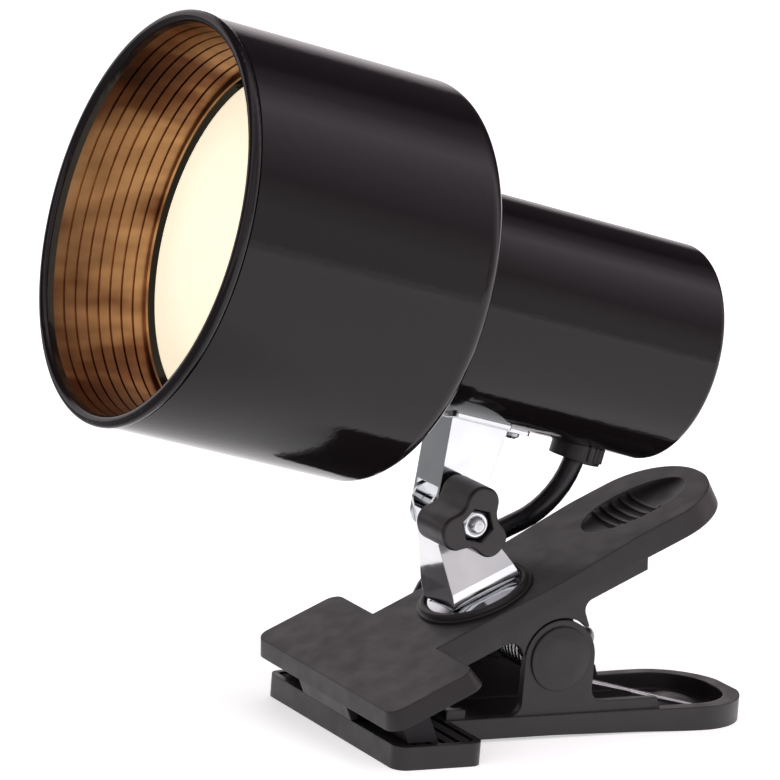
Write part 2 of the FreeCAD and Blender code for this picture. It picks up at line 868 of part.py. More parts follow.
ellipsoid(lever, "Subtractive", size.recess_width, size.recess_length, size.recess_depth,
          size.recess_centre, size.handle_rise)
ribs = sketch_on(lever, "XY_Plane", size.handle_rise - size.recess_depth)
for step in range(int(size.rib_count.number)):
    rib_u = (size.recess_centre - size.rib_offset
             + size.rib_pitch * (step - (size.rib_count.number - 1) / 2))
    outline(ribs, rectangle(-size.recess_width + 1, size.recess_width - 1,
                            rib_u - size.rib_width / 2, rib_u + size.rib_width / 2))
pad(lever, ribs, size.recess_depth - 0.1)
ellipsoid(lever, "Subtractive", size.recess_width - size.rib_stand,
          size.recess_length - size.rib_stand, size.recess_depth - size.rib_stand,
          size.recess_centre, size.handle_rise)
finish(lever, "upper_lever", lever_frame)

# The upper pad hangs under the front of the jaw; its foot is level when the jaws are shut.
pad_foot = size.clip_floor + size.pad_height + size.pad_gap
origin_z = (size.pivot_z - size.pivot_u * sine(size.lever_angle)
            - size.pivot_w * cosine(size.lever_angle))


def level_depth(u):
    """Depth under the lever at which a foot meets the level of the lower pad."""
    return (pad_foot - origin_z - u * sine(size.lever_angle)) / cosine(size.lever_angle)


upper_pad = new_body("upper_pad")
pad_rear = size.pad_front + size.pad_depth
across(upper_pad, [
    (size.pad_front, -size.lever_plate),
    (size.pad_front, level_depth(size.pad_front), 0.5),
    (pad_rear, level_depth(pad_rear), 0.5),
    (pad_rear, -size.lever_plate),
], -size.pad_half_width, size.pad_half_width * 2)
finish(upper_pad, "upper_pad", lever_frame)


# ---- swivel -------------------------------------------------------------------------------

disc_foot = size.seat_floor + size.disc_gap
disc_top = disc_foot + size.disc_thickness
foot_top = disc_top + size.sheet_metal
swivel_frame = lever_frame * swivel_centre

seat_inner = size.disc_radius + size.seat_clearance
seat_outer = seat_inner + size.seat_wall
seat_foot_outer = seat_outer + size.seat_foot_step
seat = turned_body("swivel_seat", [
    (size.rivet_radius + size.running_gap, 0),
    (seat_foot_outer, 0),
    (seat_foot_outer, size.seat_foot, 0.3),
    (seat_outer, size.seat_foot),
    (seat_outer, size.seat_height, 0.5),
    (seat_inner, size.seat_height, 0.5),
    (seat_inner, size.seat_floor),
    (size.rivet_radius + size.running_gap, size.seat_floor),
])
finish(seat, "swivel_seat", swivel_frame)

disc = turned_body("base_disc", [
    (size.rivet_radius, disc_foot),
    (size.disc_radius, disc_foot),
    (size.disc_radius, disc_top - 0.8, 0.3),
    (size.disc_flat, disc_top, 8),
    (size.rivet_radius, disc_top),
])
finish(disc, "base_disc", swivel_frame)

rivet_foot = -size.lever_plate - size.rivet_washer_thickness
rivet = turned_body("swivel_rivet", [
    (size.rivet_bore, rivet_foot - size.rivet_lip),
    (size.rivet_head - 0.6, rivet_foot - size.rivet_lip, 0.3),
    (size.rivet_head - 0.6, rivet_foot),
    (size.rivet_radius, rivet_foot),
    (size.rivet_radius, foot_top),
    (size.rivet_head, foot_top),
    (size.rivet_head, foot_top + size.rivet_lip, 0.4),
    (size.rivet_bore, foot_top + size.rivet_lip, 0.3),
])
finish(rivet, "swivel_rivet", swivel_frame)

washer = turned_body("rivet_washer", rectangle(
    size.rivet_radius, size.rivet_washer_radius, rivet_foot, -size.lever_plate))
finish(washer, "rivet_washer", swivel_frame)


# ---- brackets -----------------------------------------------------------------------------

def sheet_block(name, front, side, start, depth):
    """A block with one outline seen from the front and another seen from the side."""
    body = new_body(name)
    sketch = sketch_on(body, "XZ_Plane", -start)
    outline(sketch, front)
    pad(body, sketch, depth, True)
    trim(body, "YZ_Plane", side, 250, 60)
    return body


def cross_cylinder(name, radius, half_width, place):
    start = Placement(Vector(-half_width.number, 0, 0), Rotation())
    return cylinder(name, radius, half_width * 2, place * start * axis_across)


sheet_metal = size.sheet_metal
ear_top = size.bolt_w + size.lower_ear_top
lower_outer = sheet_block("lower_bracket_outside", mirrored([
    (size.foot_half, disc_top, size.foot_bend),
    (size.foot_half, size.splay_foot + disc_top),
    (size.neck_half, size.splay_top),
    (size.neck_half, ear_top + 4),
]), [
    (size.foot_front, disc_top - 1),
    (size.foot_rear, disc_top - 1),
    (size.foot_rear, size.splay_foot),
    (size.waist_u, size.waist_w),
    (size.bolt_u + size.lower_ear_rear, ear_top, 5),
    (size.web_top_front + 0.8, ear_top, 4),
    (size.web_top_front, size.web_top),
], size.foot_front - 2, size.foot_rear - size.foot_front + 4)
lower_inner = sheet_block("lower_bracket_inside", mirrored([
    (size.foot_half - sheet_metal, foot_top, size.foot_bend - sheet_metal),
    (size.foot_half - sheet_metal, size.splay_foot + disc_top),
    (size.neck_half - sheet_metal, size.splay_top),
    (size.neck_half - sheet_metal, ear_top + 8),
]), [
    (size.foot_front + sheet_metal, foot_top - 1),
    (size.foot_rear + 6, foot_top - 1),
    (size.foot_rear + 6, ear_top + 7),
    (size.foot_front - 6, ear_top + 7),
    (size.foot_front - 6, size.web_top),
    (size.web_top_front + sheet_metal, size.web_top),
], size.foot_front - 4, size.foot_rear - size.foot_front + 8)
bolt_place_lever = Placement(bolt_in_lever, Rotation())
lower_bolt_hole = cross_cylinder(
    "lower_bolt_hole", size.bolt_radius + size.running_gap, size.foot_half, bolt_place_lever)
foot_hole = cylinder(
    "foot_hole", size.rivet_radius, foot_top + size.drill_clearance, swivel_centre)
lower_bracket = join("lower_bracket_channel", "Cut", [lower_outer, lower_inner])
lower_bracket = join("lower_bracket_pierced", "Cut", [lower_bracket, lower_bolt_hole])
lower_bracket = join("lower_bracket", "Cut", [lower_bracket, foot_hole])
finish(lower_bracket, "lower_bracket", lever_frame)

saddle_outside = size.housing_radius + size.saddle_sheet
upper_outer = new_body("upper_bracket_outside")
across(upper_outer, [
    (size.web_head_front, -size.housing_radius + 1),
    (size.web_foot_front, size.ear_foot, size.ear_round),
    (size.ear_rear, size.ear_foot, size.ear_round),
    (size.rear_waist, size.rear_waist_r),
    (size.saddle_end, -size.housing_radius + 1),
], -size.upper_half, size.upper_half * 2)
housing_cut(upper_outer)
upper_inner = new_body("upper_bracket_inside")
foot_share = (size.web_foot + saddle_outside) / (size.ear_foot + saddle_outside)
web_foot_rear = (size.web_head_front + sheet_metal
                 + (size.web_foot_front - size.web_head_front) * foot_share)
across(upper_inner, [
    (size.web_head_front + sheet_metal, -saddle_outside),
    (web_foot_rear, size.web_foot),
    (size.saddle_start - 6, size.web_foot),
    (size.saddle_start - 6, size.ear_foot - 8),
    (size.saddle_end + 10, size.ear_foot - 8),
    (size.saddle_end + 10, -saddle_outside),
], -size.upper_half + sheet_metal, (size.upper_half - sheet_metal) * 2)
saddle = new_body("saddle")
saddle_section = sketch_on(saddle, "XZ_Plane", -size.saddle_start)
circle(saddle_section, 0, 0, saddle_outside)
circle(saddle_section, 0, 0, size.housing_radius)
pad(saddle, saddle_section, size.tab_end - size.saddle_start, True)
trim(saddle, "XY_Plane", mirrored([
    (size.saddle_half, size.saddle_start, 1.5),
    (size.saddle_half, size.saddle_end, 1.5),
    (size.tab_half, size.saddle_end),
    (size.tab_half, size.tab_end, 2.5),
]), 250, 60)
saddle_top = sketch_on(saddle, "XY_Plane")
outline(saddle_top, rectangle(
    -saddle_outside * 2, saddle_outside * 2,
    size.saddle_start - size.drill_clearance, size.tab_end + size.drill_clearance))
pocket(saddle, saddle_top, saddle_outside * 2, True)
bolt_place_head = Placement(bolt_in_head, Rotation())
upper_bolt_hole = cross_cylinder(
    "upper_bolt_hole", size.bolt_radius + size.running_gap, size.foot_half, bolt_place_head)
upper_bracket = join("upper_bracket_channel", "Cut", [upper_outer, upper_inner])
upper_bracket = join("upper_bracket_sheet", "MultiFuse", [upper_bracket, saddle])
upper_bracket = join("upper_bracket_bolted", "Cut", [upper_bracket, upper_bolt_hole])
drill_foot = saddle_outside + size.drill_clearance
drill_length = size.saddle_sheet + size.drill_clearance * 2
for index, place_l in enumerate((size.bracket_screw_front, size.bracket_screw_rear)):
    hole = cylinder(f"saddle_hole_{index}", size.screw_radius, drill_length,
                    Placement(Vector(0, place_l.number, -drill_foot.number), Rotation()))
    upper_bracket = join(f"upper_bracket_{index}", "Cut", [upper_bracket, hole])
finish(upper_bracket, "upper_bracket", head_frame)

screw_spots = [
    Placement(Vector(0, place_l.number, -saddle_outside.number), Rotation())
    for place_l in (size.bracket_screw_front, size.bracket_screw_rear)]
finish(dome_screws("bracket_screws", screw_spots, size.bracket_screw_length),
       "bracket_screws", head_frame)


# ---- tilt bolt, washer and knob -----------------------------------------------------------

bolt_axis = Placement(bolt_centre, head_turn) * axis_across
bolt = turned_body("tilt_bolt", [
    (0, -size.upper_half - size.bolt_head_height),
    (size.bolt_head_radius, -size.upper_half - size.bolt_head_height, size.bolt_head_round),
    (size.bolt_head_radius, -size.upper_half),
    (size.bolt_radius, -size.upper_half),
    (size.bolt_radius, size.bolt_end - 0.6),
    (size.bolt_radius - 0.6, size.bolt_end),
    (0, size.bolt_end),
])
finish(bolt, "tilt_bolt", bolt_axis)

lock_washer = turned_body("lock_washer", rectangle(
    size.bolt_radius, size.washer_radius,
    size.upper_half, size.upper_half + size.washer_thickness))
finish(lock_washer, "lock_washer", bolt_axis)

lobes = []
for step in range(3):
    turn_cos = math.cos(math.radians(120 * step))
    turn_sin = math.sin(math.radians(120 * step))
    waist_x = size.knob_waist * math.sin(math.radians(60))
    waist_y = size.knob_waist * math.cos(math.radians(60))
    for x, y, radius in (
            (waist_x, waist_y, size.knob_lobe),
            (size.knob_lobe + 0.1, size.knob_reach, size.knob_lobe),
            (-size.knob_lobe - 0.1, size.knob_reach, size.knob_lobe)):
        lobes.append((x * turn_cos - y * turn_sin, x * turn_sin + y * turn_cos, radius))

knob = new_body("knob")
knob_plan = sketch_on(knob, "XY_Plane", size.knob_start)
outline(knob_plan, lobes)
pad(knob, knob_plan, size.knob_end - size.knob_chamfer - size.knob_start)
knob_face = sketch_on(knob, "XY_Plane", size.knob_end - size.knob_chamfer)
outline(knob_face, lobes)
pad(knob, knob_face, size.knob_chamfer, False, measure(-35))
boss = sketch_on(knob, "XY_Plane", size.knob_start)
circle(boss, 0, 0, size.knob_boss)
pad(knob, boss, size.knob_start - size.upper_half - size.washer_thickness, True)
bore = sketch_on(knob, "XY_Plane", size.knob_end + 1)
circle(bore, 0, 0, size.bolt_radius + size.running_gap)
pocket(knob, bore)


def hexagon(flats):
    reach = flats / (2 * math.cos(math.pi / 6))
    return [(reach * math.cos(math.pi * step / 3), reach * math.sin(math.pi * step / 3))
            for step in range(6)]


nut_face = size.knob_end - size.nut_recess
socket = sketch_on(knob, "XY_Plane", size.knob_end)
outline(socket, hexagon(size.nut_flats + size.nut_pocket))
pocket(knob, socket, size.nut_height + size.nut_recess)
knob_axis = Placement(bolt_centre, Rotation(Vector(1, 0, 0), size.knob_turn.number)) * axis_across
finish(knob, "knob", knob_axis)

nut = new_body("knob_nut")
nut_plan = sketch_on(nut, "XY_Plane", nut_face - size.nut_height)
outline(nut_plan, hexagon(size.nut_flats))
circle(nut_plan, 0, 0, size.bolt_radius + size.running_gap)
pad(nut, nut_plan, size.nut_height)
finish(nut, "knob_nut", knob_axis)


# ---- lamp head ----------------------------------------------------------------------------

shade_inside = size.shade_radius - size.shade_wall
bead = size.bead_radius * 2
ring = turned_body("rim_ring", [
    (size.rim_radius - bead, 0, size.bead_radius * 0.95),
    (size.rim_radius, 0, size.bead_radius * 0.95),
    (size.rim_radius, size.ring_depth, size.bead_radius * 0.95),
    (size.ring_inside, size.ring_depth, 0.2),
])
finish(ring, "rim_ring", head_axis)


def ring_spots(circle_radius, count):
    """Points spread evenly on a circle."""
    return [(circle_radius * math.sin(2 * math.pi * step / count),
             circle_radius * math.cos(2 * math.pi * step / count)) for step in range(count)]


shade = turned_body("shade", [
    (shade_inside, size.ring_depth),
    (size.shade_radius, size.ring_depth),
    (size.shade_radius, size.shade_length, size.shade_shoulder),
    (size.collar_inside, size.shade_length),
    (size.collar_inside, size.shade_length - size.shade_wall),
    (shade_inside, size.shade_length - size.shade_wall, size.shade_shoulder - size.shade_wall),
])
shade_holes = sketch_on(shade, "XY_Plane", size.shade_length + 1)
shade_screw_circle = (size.housing_radius - size.housing_wall
                      - size.screw_head_radius - size.shade_screw_gap)
for x, y in ring_spots(shade_screw_circle, 3):
    circle(shade_holes, x, y, size.screw_radius)
pocket(shade, shade_holes, size.shade_wall + 4)
finish(shade, "shade", head_axis)

steps = 8
baffle_pitch = (size.baffle_end - size.ring_depth) / steps
baffle_fall = (size.baffle_front - size.baffle_rear) / steps
baffle_back = size.baffle_sheet + size.baffle_groove
inner_side = []
for step in range(steps):
    radius = size.baffle_front - baffle_fall * step
    start = size.ring_depth + baffle_pitch * step
    inner_side.append((radius, start))
    inner_side.append((radius - baffle_fall, start + baffle_pitch - size.baffle_groove))
    if step < steps - 1:
        rear = start + baffle_pitch - size.baffle_groove
        inner_side.append((radius - baffle_fall + size.baffle_groove, rear))
        inner_side.append((radius - baffle_fall + size.baffle_groove, start + baffle_pitch))
baffle = turned_body("baffle", inner_side + [
    (size.baffle_lip, size.baffle_end - size.baffle_groove),
    (size.baffle_lip, size.baffle_end),
    (size.baffle_rear + baffle_back, size.baffle_end),
    (size.baffle_front + baffle_back - 0.4, size.ring_depth + 1.5),
    (shade_inside, size.ring_depth + 1.0),
    (shade_inside, size.ring_depth),
])
finish(baffle, "baffle", head_axis)

housing_inside = size.housing_radius - size.housing_wall
collar_rear = size.shade_length + size.collar_sheet
housing = turned_body("rear_housing", [
    (size.collar_inside, size.shade_length),
    (size.housing_radius, size.shade_length, 0.6),
    (size.housing_radius, size.housing_end, size.housing_round),
    (0, size.housing_end),
    (0, size.housing_end - size.housing_wall),
    (housing_inside, size.housing_end - size.housing_wall,
     size.housing_round - size.housing_wall),
    (housing_inside, collar_rear),
    (size.collar_inside, collar_rear),
])
under_holes = sketch_on(housing, "XZ_Plane")
circle(under_holes, 0, size.gland_centre, size.gland_spigot_radius + size.running_gap)
circle(under_holes, 0, size.bracket_screw_front, size.screw_radius)
circle(under_holes, 0, size.bracket_screw_rear, size.screw_radius)
pocket(housing, under_holes, 60)
collar_holes = sketch_on(housing, "XY_Plane", collar_rear + 1)
for x, y in ring_spots(shade_screw_circle, 3):
    circle(collar_holes, x, y, size.screw_radius)
pocket(housing, collar_holes, 5)
finish(housing, "rear_housing", head_axis)

shade_spots = [
    Placement(Vector(x.number, y.number, (size.shade_length - size.shade_wall).number), Rotation())
    for x, y in ring_spots(shade_screw_circle, 3)]
finish(dome_screws("shade_screws", shade_spots, size.shade_screw_length),
       "shade_screws", head_axis)


# ---- lamp and lampholder ------------------------------------------------------------------

def lamp_outline(inset):
    """The reflector lamp's bulb, from the middle of its face to its neck."""
    return [
        (0, size.lamp_front + inset),
        (size.lamp_radius * 0.7, size.lamp_front + inset, 60),
        (size.lamp_radius - inset, size.lamp_rim + inset * 0.5, 1.6 - inset * 0.8),
        (size.lamp_radius - 1 - inset, size.lamp_rim + 4, 2),
        (size.lamp_radius * 0.82 - inset, size.lamp_neck - 33, 60),
        (size.lamp_radius * 0.42 - inset, size.lamp_neck - 9, 24),
        (size.lamp_neck_radius - inset, size.lamp_neck, 3),
        (size.base_radius - inset, size.base_start),
    ]


lamp = turned_body("bulb_glass", lamp_outline(measure(0))
                   + list(reversed(lamp_outline(size.glass_wall))))
finish(lamp, "bulb_glass", head_axis)

thread = []
thread_pitch = (size.base_end - size.base_start - 4) / 5
for step in range(5):
    start = size.base_start + 1.5 + thread_pitch * step
    thread.append((size.base_radius - 0.8, start))
    thread.append((size.base_radius, start + thread_pitch * 0.5))
base = turned_body("bulb_base", [
    (0, size.base_start),
    (size.base_radius - 0.8, size.base_start),
    *thread,
    (size.base_radius - 0.8, size.base_end - 1.5),
    (size.contact_radius + 1.6, size.base_end),
    (size.contact_radius, size.contact_end),
    (0, size.contact_end),
])
finish(base, "bulb_base", head_axis)

holder = turned_body("lampholder", [
    (size.shell_radius, size.holder_start),
    (size.holder_radius, size.holder_start, 0.8),
    (size.holder_radius, size.holder_end, 1.2),
    (0, size.holder_end),
    (0, size.holder_floor),
    (size.shell_radius, size.holder_floor),
])
holder_holes = sketch_on(holder, "XY_Plane", size.holder_end + 1)
for x, y in ring_spots(size.strap_screw_circle, 2):
    circle(holder_holes, x, y, size.screw_radius)
pocket(holder, holder_holes, 5.5)
finish(holder, "lampholder", head_axis)

shell = turned_body("screw_shell", rectangle(
    size.base_radius + 0.3, size.shell_radius, size.base_start + 1, size.shell_end))
finish(shell, "screw_shell", head_axis)

contact = turned_body("centre_contact", [
    (0, size.contact_end),
    (size.contact_radius, size.contact_end, 0.6),
    (size.contact_radius, size.contact_end + 1.4),
    (size.contact_radius - 2, size.contact_end + 1.4),
    (size.contact_radius - 2, size.holder_floor),
    (0, size.holder_floor),
])
finish(contact, "centre_contact", head_axis)

strap_rear = size.holder_end + size.strap_sheet
strap = turned_body("socket_bracket", [
    (0, size.holder_end),
    (housing_inside, size.holder_end, size.strap_sheet),
    (housing_inside, strap_rear + 6),
    (housing_inside - size.strap_sheet, strap_rear + 6),
    (housing_inside - size.strap_sheet, strap_rear),
    (0, strap_rear),
])
strap_holes = sketch_on(strap, "XY_Plane", strap_rear + 1)
for x, y in ring_spots(size.strap_screw_circle, 2):
    circle(strap_holes, x, y, size.screw_radius)
pocket(strap, strap_holes, 3)
finish(strap, "socket_bracket", head_axis)

strap_spots = [
    Placement(Vector(x.number, y.number, strap_rear.number), Rotation()) * axis_down
    for x, y in ring_spots(size.strap_screw_circle, 2)]
finish(dome_screws("socket_screws", strap_spots, size.socket_screw_length),
       "socket_screws", head_axis)


# ---- cord entry ---------------------------------------------------------------------------

def half_collar(body, radius, foot):
    """One half of the split collar: a round block cut back along the split."""
    sketch = sketch_on(body, "XY_Plane", size.housing_radius - 2)
    circle(sketch, 0, 0, radius)
    pad(body, sketch, foot - size.housing_radius + 2)
    return sketch


def collar_cuts(body, split_low, split_high, spigot_kept):
    """Cuts the split, the seat on the housing and the bore for the cord."""
    split = sketch_on(body, "XY_Plane", 60)
    outline(split, rectangle(-20, 20, split_low, split_high))
    pocket(body, split)
    housing_cut(body, 30)
    if spigot_kept:
        spigot = sketch_on(body, "XY_Plane", housing_inside - 1.5)
        circle(spigot, 0, 0, size.gland_spigot_radius)
        pad(body, spigot, size.gland_mouth - 1.2 - housing_inside + 1.5)
    bore = sketch_on(body, "XY_Plane", size.gland_mouth)
    circle(bore, 0, 0, size.cord_radius + size.cord_clearance)
    pocket(body, bore, None, True)


# The collar is split across the cord; its own Y runs forward along the housing.
gland_place = Placement(Vector(0, size.gland_centre.number, 0), Rotation()) * axis_down
front_half = new_body("gland_body")
half_collar(front_half, size.gland_body_radius, size.gland_body_foot)
collar_cuts(front_half, -20, size.gland_split, False)
finish(front_half, "gland_body", head_frame * gland_place)

collar = new_body("gland_collar")
collar_plan = half_collar(collar, size.gland_radius, size.gland_foot)
rib_plan = sketch_on(collar, "XY_Plane", size.housing_radius - 2)
circle(rib_plan, 0, size.gland_radius, size.gland_rib_radius)
rib = pad(collar, rib_plan, size.gland_foot - size.housing_radius + 1.2)
rib_ring = collar.newObject("PartDesign::PolarPattern", "gland_rib_ring")
rib_ring.Originals = [rib]
rib_ring.Axis = (collar_plan, ["N_Axis"])
rib_ring.Angle = 360
rib_ring.setExpression("Occurrences", size.gland_ribs.text)
collar.Tip = rib_ring
collar_cuts(collar, size.gland_split, 20, True)
finish(collar, "gland_collar", head_frame * gland_place)


# ---- cord, coil and plug ------------------------------------------------------------------

def arc_point(start, corner, end):
    """Middle of the arc that leaves start and end tangent to the two runs."""
    to_start = (start - corner).normalize()
    to_end = (end - corner).normalize()
    half = to_start.getAngle(to_end) / 2
    reach = (start - corner).Length
    radius = reach * math.tan(half)
    middle = (to_start + to_end).normalize()
    centre = corner + middle * (radius / math.sin(half))
    return centre - middle * radius


def cord_path(points):
    """Straight runs through the points, with an arc tangent to both runs at each corner."""
    edges = []
    radii = []
    spot = points[0]
    for before, corner, after in zip(points, points[1:], points[2:]):
        reach = 0.45 * min((corner - before).Length, (after - corner).Length)
        start = corner + (before - corner).normalize() * reach
        end = corner + (after - corner).normalize() * reach
        turn = (corner - before).getAngle(after - corner)
        radii.append(round(reach / math.tan(turn / 2), 1))
        edges.append(Part.LineSegment(spot, start).toShape())
        edges.append(Part.Arc(start, arc_point(start, corner, end), end).toShape())
        spot = end
    edges.append(Part.LineSegment(spot, points[-1]).toShape())
    print("arc radii", radii)
    return Part.Wire(edges)


def cord(name, points):
    """A round cord along a route given in the clip's frame."""
    path = cord_path(points)
    section = Part.Wire([Part.Circle(
        points[0], points[1] - points[0], size.cord_radius.number).toShape()])
    tube = document.addObject("Part::Feature", name)
    tube.Shape = path.makePipeShell([section], True, False)
    expected = math.pi * size.cord_radius.number ** 2 * path.Length
    print(name, "length", round(path.Length, 1), "volume ratio",
          round(tube.Shape.Volume / expected, 4))
    return finish(tube, name, clip_frame)


def between(first, second, share=0.5):
    return first + (second - first) * share


def under_gland(depth):
    """A point on the gland's axis, in the clip's frame."""
    point = Vector(0, size.gland_centre.number, -size.gland_mouth.number - depth)
    return clip_frame.inverse().multVec(head_frame.multVec(point))


coil_bottom = size.tie_thickness.number
coil_level = coil_bottom + size.cord_radius.number
coil_x = size.coil_x.number
coil_y = size.coil_y.number
turn_out = size.coil_mid_radius.number + size.cord_radius.number * (size.coil_wide.number - 1)
route = [
    under_gland(0),
    under_gland(7.5),
    Vector(-4.2, 63.0, 59.4),
    Vector(-13.5, 57.6, 52.6),
    Vector(-25.0, 51.0, 44.0),
    Vector(-30.4, 42.5, 31.5),
    Vector(-29.8, 39.4, 17.0),
    Vector(-28.0, 44.8, 6.6),
    Vector(-25.8, 56.2, coil_level),
    Vector(coil_x + turn_out, coil_y, coil_level),
]
first_split = between(route[2], route[3])
second_split = between(route[4], route[5])
cord("cord_lead", [*route[:3], first_split])
cord("cord_mid", [first_split, route[3], route[4], second_split])
cord("cord_drop", [second_split, *route[5:]])

coil_width = size.cord_radius * size.coil_wide
coil_height = size.cord_radius * 2 * size.coil_high
bundle = turned_body("cord_coil", rectangle(
    size.coil_mid_radius - coil_width, size.coil_mid_radius + coil_width,
    size.tie_thickness, size.tie_thickness + coil_height, size.cord_radius * 0.9))
coil_place = clip_frame * Placement(Vector(coil_x, coil_y, 0), Rotation())
finish(bundle, "cord_coil", coil_place)

tie = new_body("cable_tie")
tie_section = sketch_on(tie, "XZ_Plane", -size.tie_width / 2)
tie_in = size.coil_mid_radius - coil_width
tie_out = size.coil_mid_radius + coil_width
outline(tie_section, rectangle(tie_in - 0.2 - size.tie_thickness, tie_out + size.tie_thickness,
                               0, coil_height + size.tie_thickness * 2, 2.4))
outline(tie_section, rectangle(tie_in - 0.2, tie_out,
                               size.tie_thickness, coil_height + size.tie_thickness, 1.6))
pad(tie, tie_section, size.tie_width)
finish(tie, "cable_tie", coil_place * Placement(Vector(), Rotation(Vector(0, 0, 1), size.tie_turn.number)))

plug_heading = Vector(math.cos(math.radians(160)), math.sin(math.radians(160)), 0)
plug_back = Vector(-86.4, 118.6, size.plug_height.number / 2)
leave = math.radians(70)
tail_start = Vector(coil_x + turn_out * math.cos(leave), coil_y + turn_out * math.sin(leave),
                    coil_level)
cord("cord_tail", [
    tail_start,
    tail_start + Vector(-math.sin(leave), math.cos(leave), 0) * 12,
    plug_back - plug_heading * 12,
    plug_back,
])

plug_place = clip_frame * Placement(plug_back, Rotation(Vector(0, 0, 1), 70))
plug = new_body("plug_body")
plug_section = sketch_on(plug, "XZ_Plane")
outline(plug_section, rectangle(-size.plug_width / 2, size.plug_width / 2,
                                -size.plug_height / 2, size.plug_height / 2, 3.5))
pad(plug, plug_section, size.plug_length, True)
finish(plug, "plug_body", plug_place)

blades = []
for side in (-1, 1):
    blade = document.addObject("Part::Box", f"blade_{side + 1}")
    blade.setExpression("Length", size.blade_thickness.text)
    blade.setExpression("Width", size.blade_length.text)
    blade.setExpression("Height", size.blade_width.text)
    middle = side * size.blade_pitch.number / 2 - size.blade_thickness.number / 2
    blade.Placement = Placement(
        Vector(middle, size.plug_length.number, -size.blade_width.number / 2), Rotation())
    blades.append(blade)
finish(join("plug_blades", "MultiFuse", blades), "plug_blades", plug_place)


# ---- check and export ---------------------------------------------------------------------

document.recompute()
faults = []
for item in document.Objects:
    if "Invalid" in item.State or "Error" in item.State:
        faults.append(f"{item.Name}: {item.State}")
for node in nodes:
    shape = node.Shape
    if shape.isNull() or not shape.isValid() or not shape.Solids:
        faults.append(f"{node.Label}: no valid solid")
if faults:
    raise RuntimeError("; ".join(faults))
for node in nodes:
    node.Shape.exportStep(f"parts/{node.Label}.step")
    box = node.Shape.optimalBoundingBox(True, False)
    print(f"{node.Label:16s} solids {len(node.Shape.Solids)} volume {node.Shape.Volume:9.1f}",
          f"x {box.XMin:7.1f} {box.XMax:7.1f} y {box.YMin:7.1f} {box.YMax:7.1f}",
          f"z {box.ZMin:7.1f} {box.ZMax:7.1f}")
print("nodes", len(nodes))
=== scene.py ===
import math

import bmesh
import bpy
import numpy as np
from mathutils import Matrix, Vector


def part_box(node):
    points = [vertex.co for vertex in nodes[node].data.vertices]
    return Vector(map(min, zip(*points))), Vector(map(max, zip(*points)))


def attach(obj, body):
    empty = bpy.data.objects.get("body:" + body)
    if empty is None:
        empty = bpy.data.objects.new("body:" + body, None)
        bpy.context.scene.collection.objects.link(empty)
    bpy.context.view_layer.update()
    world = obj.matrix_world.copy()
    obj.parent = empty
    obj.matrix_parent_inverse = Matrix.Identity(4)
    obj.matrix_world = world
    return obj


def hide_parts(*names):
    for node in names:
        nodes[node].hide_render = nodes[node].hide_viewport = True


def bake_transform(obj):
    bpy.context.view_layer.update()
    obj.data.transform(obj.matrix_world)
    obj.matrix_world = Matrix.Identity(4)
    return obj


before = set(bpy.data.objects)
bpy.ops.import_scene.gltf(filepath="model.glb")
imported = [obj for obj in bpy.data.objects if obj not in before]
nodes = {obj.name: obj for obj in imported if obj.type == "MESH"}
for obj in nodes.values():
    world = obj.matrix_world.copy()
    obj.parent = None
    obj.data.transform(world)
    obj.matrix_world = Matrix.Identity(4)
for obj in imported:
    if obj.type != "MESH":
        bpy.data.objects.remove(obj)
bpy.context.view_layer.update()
print("frame loaded:", len(nodes), "nodes")


# small tools for colours and nodes

def linearColour(hexCode):
    # sRGB hex to the linear values that shaders use
    channels = [int(hexCode[i:i + 2], 16) / 255 for i in (1, 3, 5)]
    linear = [c / 12.92 if c <= 0.04045 else ((c + 0.055) / 1.055) ** 2.4 for c in channels]
    return (*linear, 1.0)


def addNode(tree, kind, settings=None, links=None):
    # settings: sockets and properties by name; links: input socket -> output socket
    node = tree.nodes.new("ShaderNode" + kind)
    for name, value in (settings or {}).items():
        if isinstance(name, str) and hasattr(node, name) and name not in node.inputs:
            setattr(node, name, value)
        else:
            node.inputs[name].default_value = value
    for name, output in (links or {}).items():
        tree.links.new(output, node.inputs[name])
    return node


def newMaterial(name):
    material = bpy.data.materials.new(name)
    material.use_nodes = True
    material.node_tree.nodes.clear()
    return material, material.node_tree


def dress(nodeNames, material):
    for name in nodeNames:
        mesh = nodes[name].data
        mesh.materials.clear()
        mesh.materials.append(material)


# surfaces that the finishes share

def objectPoint(tree, stretch):
    # object coordinates in metres, times a factor on each axis
    coordinates = addNode(tree, "TexCoord")
    return addNode(tree, "Mapping", {"Scale": stretch}, {"Vector": coordinates.outputs["Object"]})


def noise(tree, scale, detail=3.0, roughness=0.5, stretch=(1, 1, 1)):
    # scale is in cells per metre, so 1000 is a pattern of about a millimetre
    point = objectPoint(tree, stretch)
    return addNode(tree, "TexNoise", {"Scale": scale, "Detail": detail, "Roughness": roughness},
                   {"Vector": point.outputs["Vector"]})


def ramp(tree, factor, stops):
    # stops: position -> hex colour
    node = addNode(tree, "ValToRGB", links={"Fac": factor})
    elements = node.color_ramp.elements
    while len(elements) > 1:
        elements.remove(elements[-1])
    for index, (position, colour) in enumerate(sorted(stops.items())):
        element = elements[0] if index == 0 else elements.new(position)
        element.position = position
        element.color = linearColour(colour)
    return node


def spread(tree, factor, low, high):
    # a factor from 0.3 to 0.7 brought to the range low to high
    return addNode(tree, "MapRange", {
        "From Min": 0.3, "From Max": 0.7, "To Min": low, "To Max": high}, {"Value": factor})


def bump(tree, height, distance, strength=1.0, softEdge=0.0):
    # softEdge rounds the look of sharp edges by that many metres
    links = {"Height": height}
    if softEdge:
        links["Normal"] = addNode(tree, "Bevel", {"Radius": softEdge}).outputs["Normal"]
    return addNode(tree, "Bump", {"Distance": distance, "Strength": strength}, links)


def finished(tree, shader):
    addNode(tree, "OutputMaterial", links={"Surface": shader.outputs["BSDF"]})


# finishes

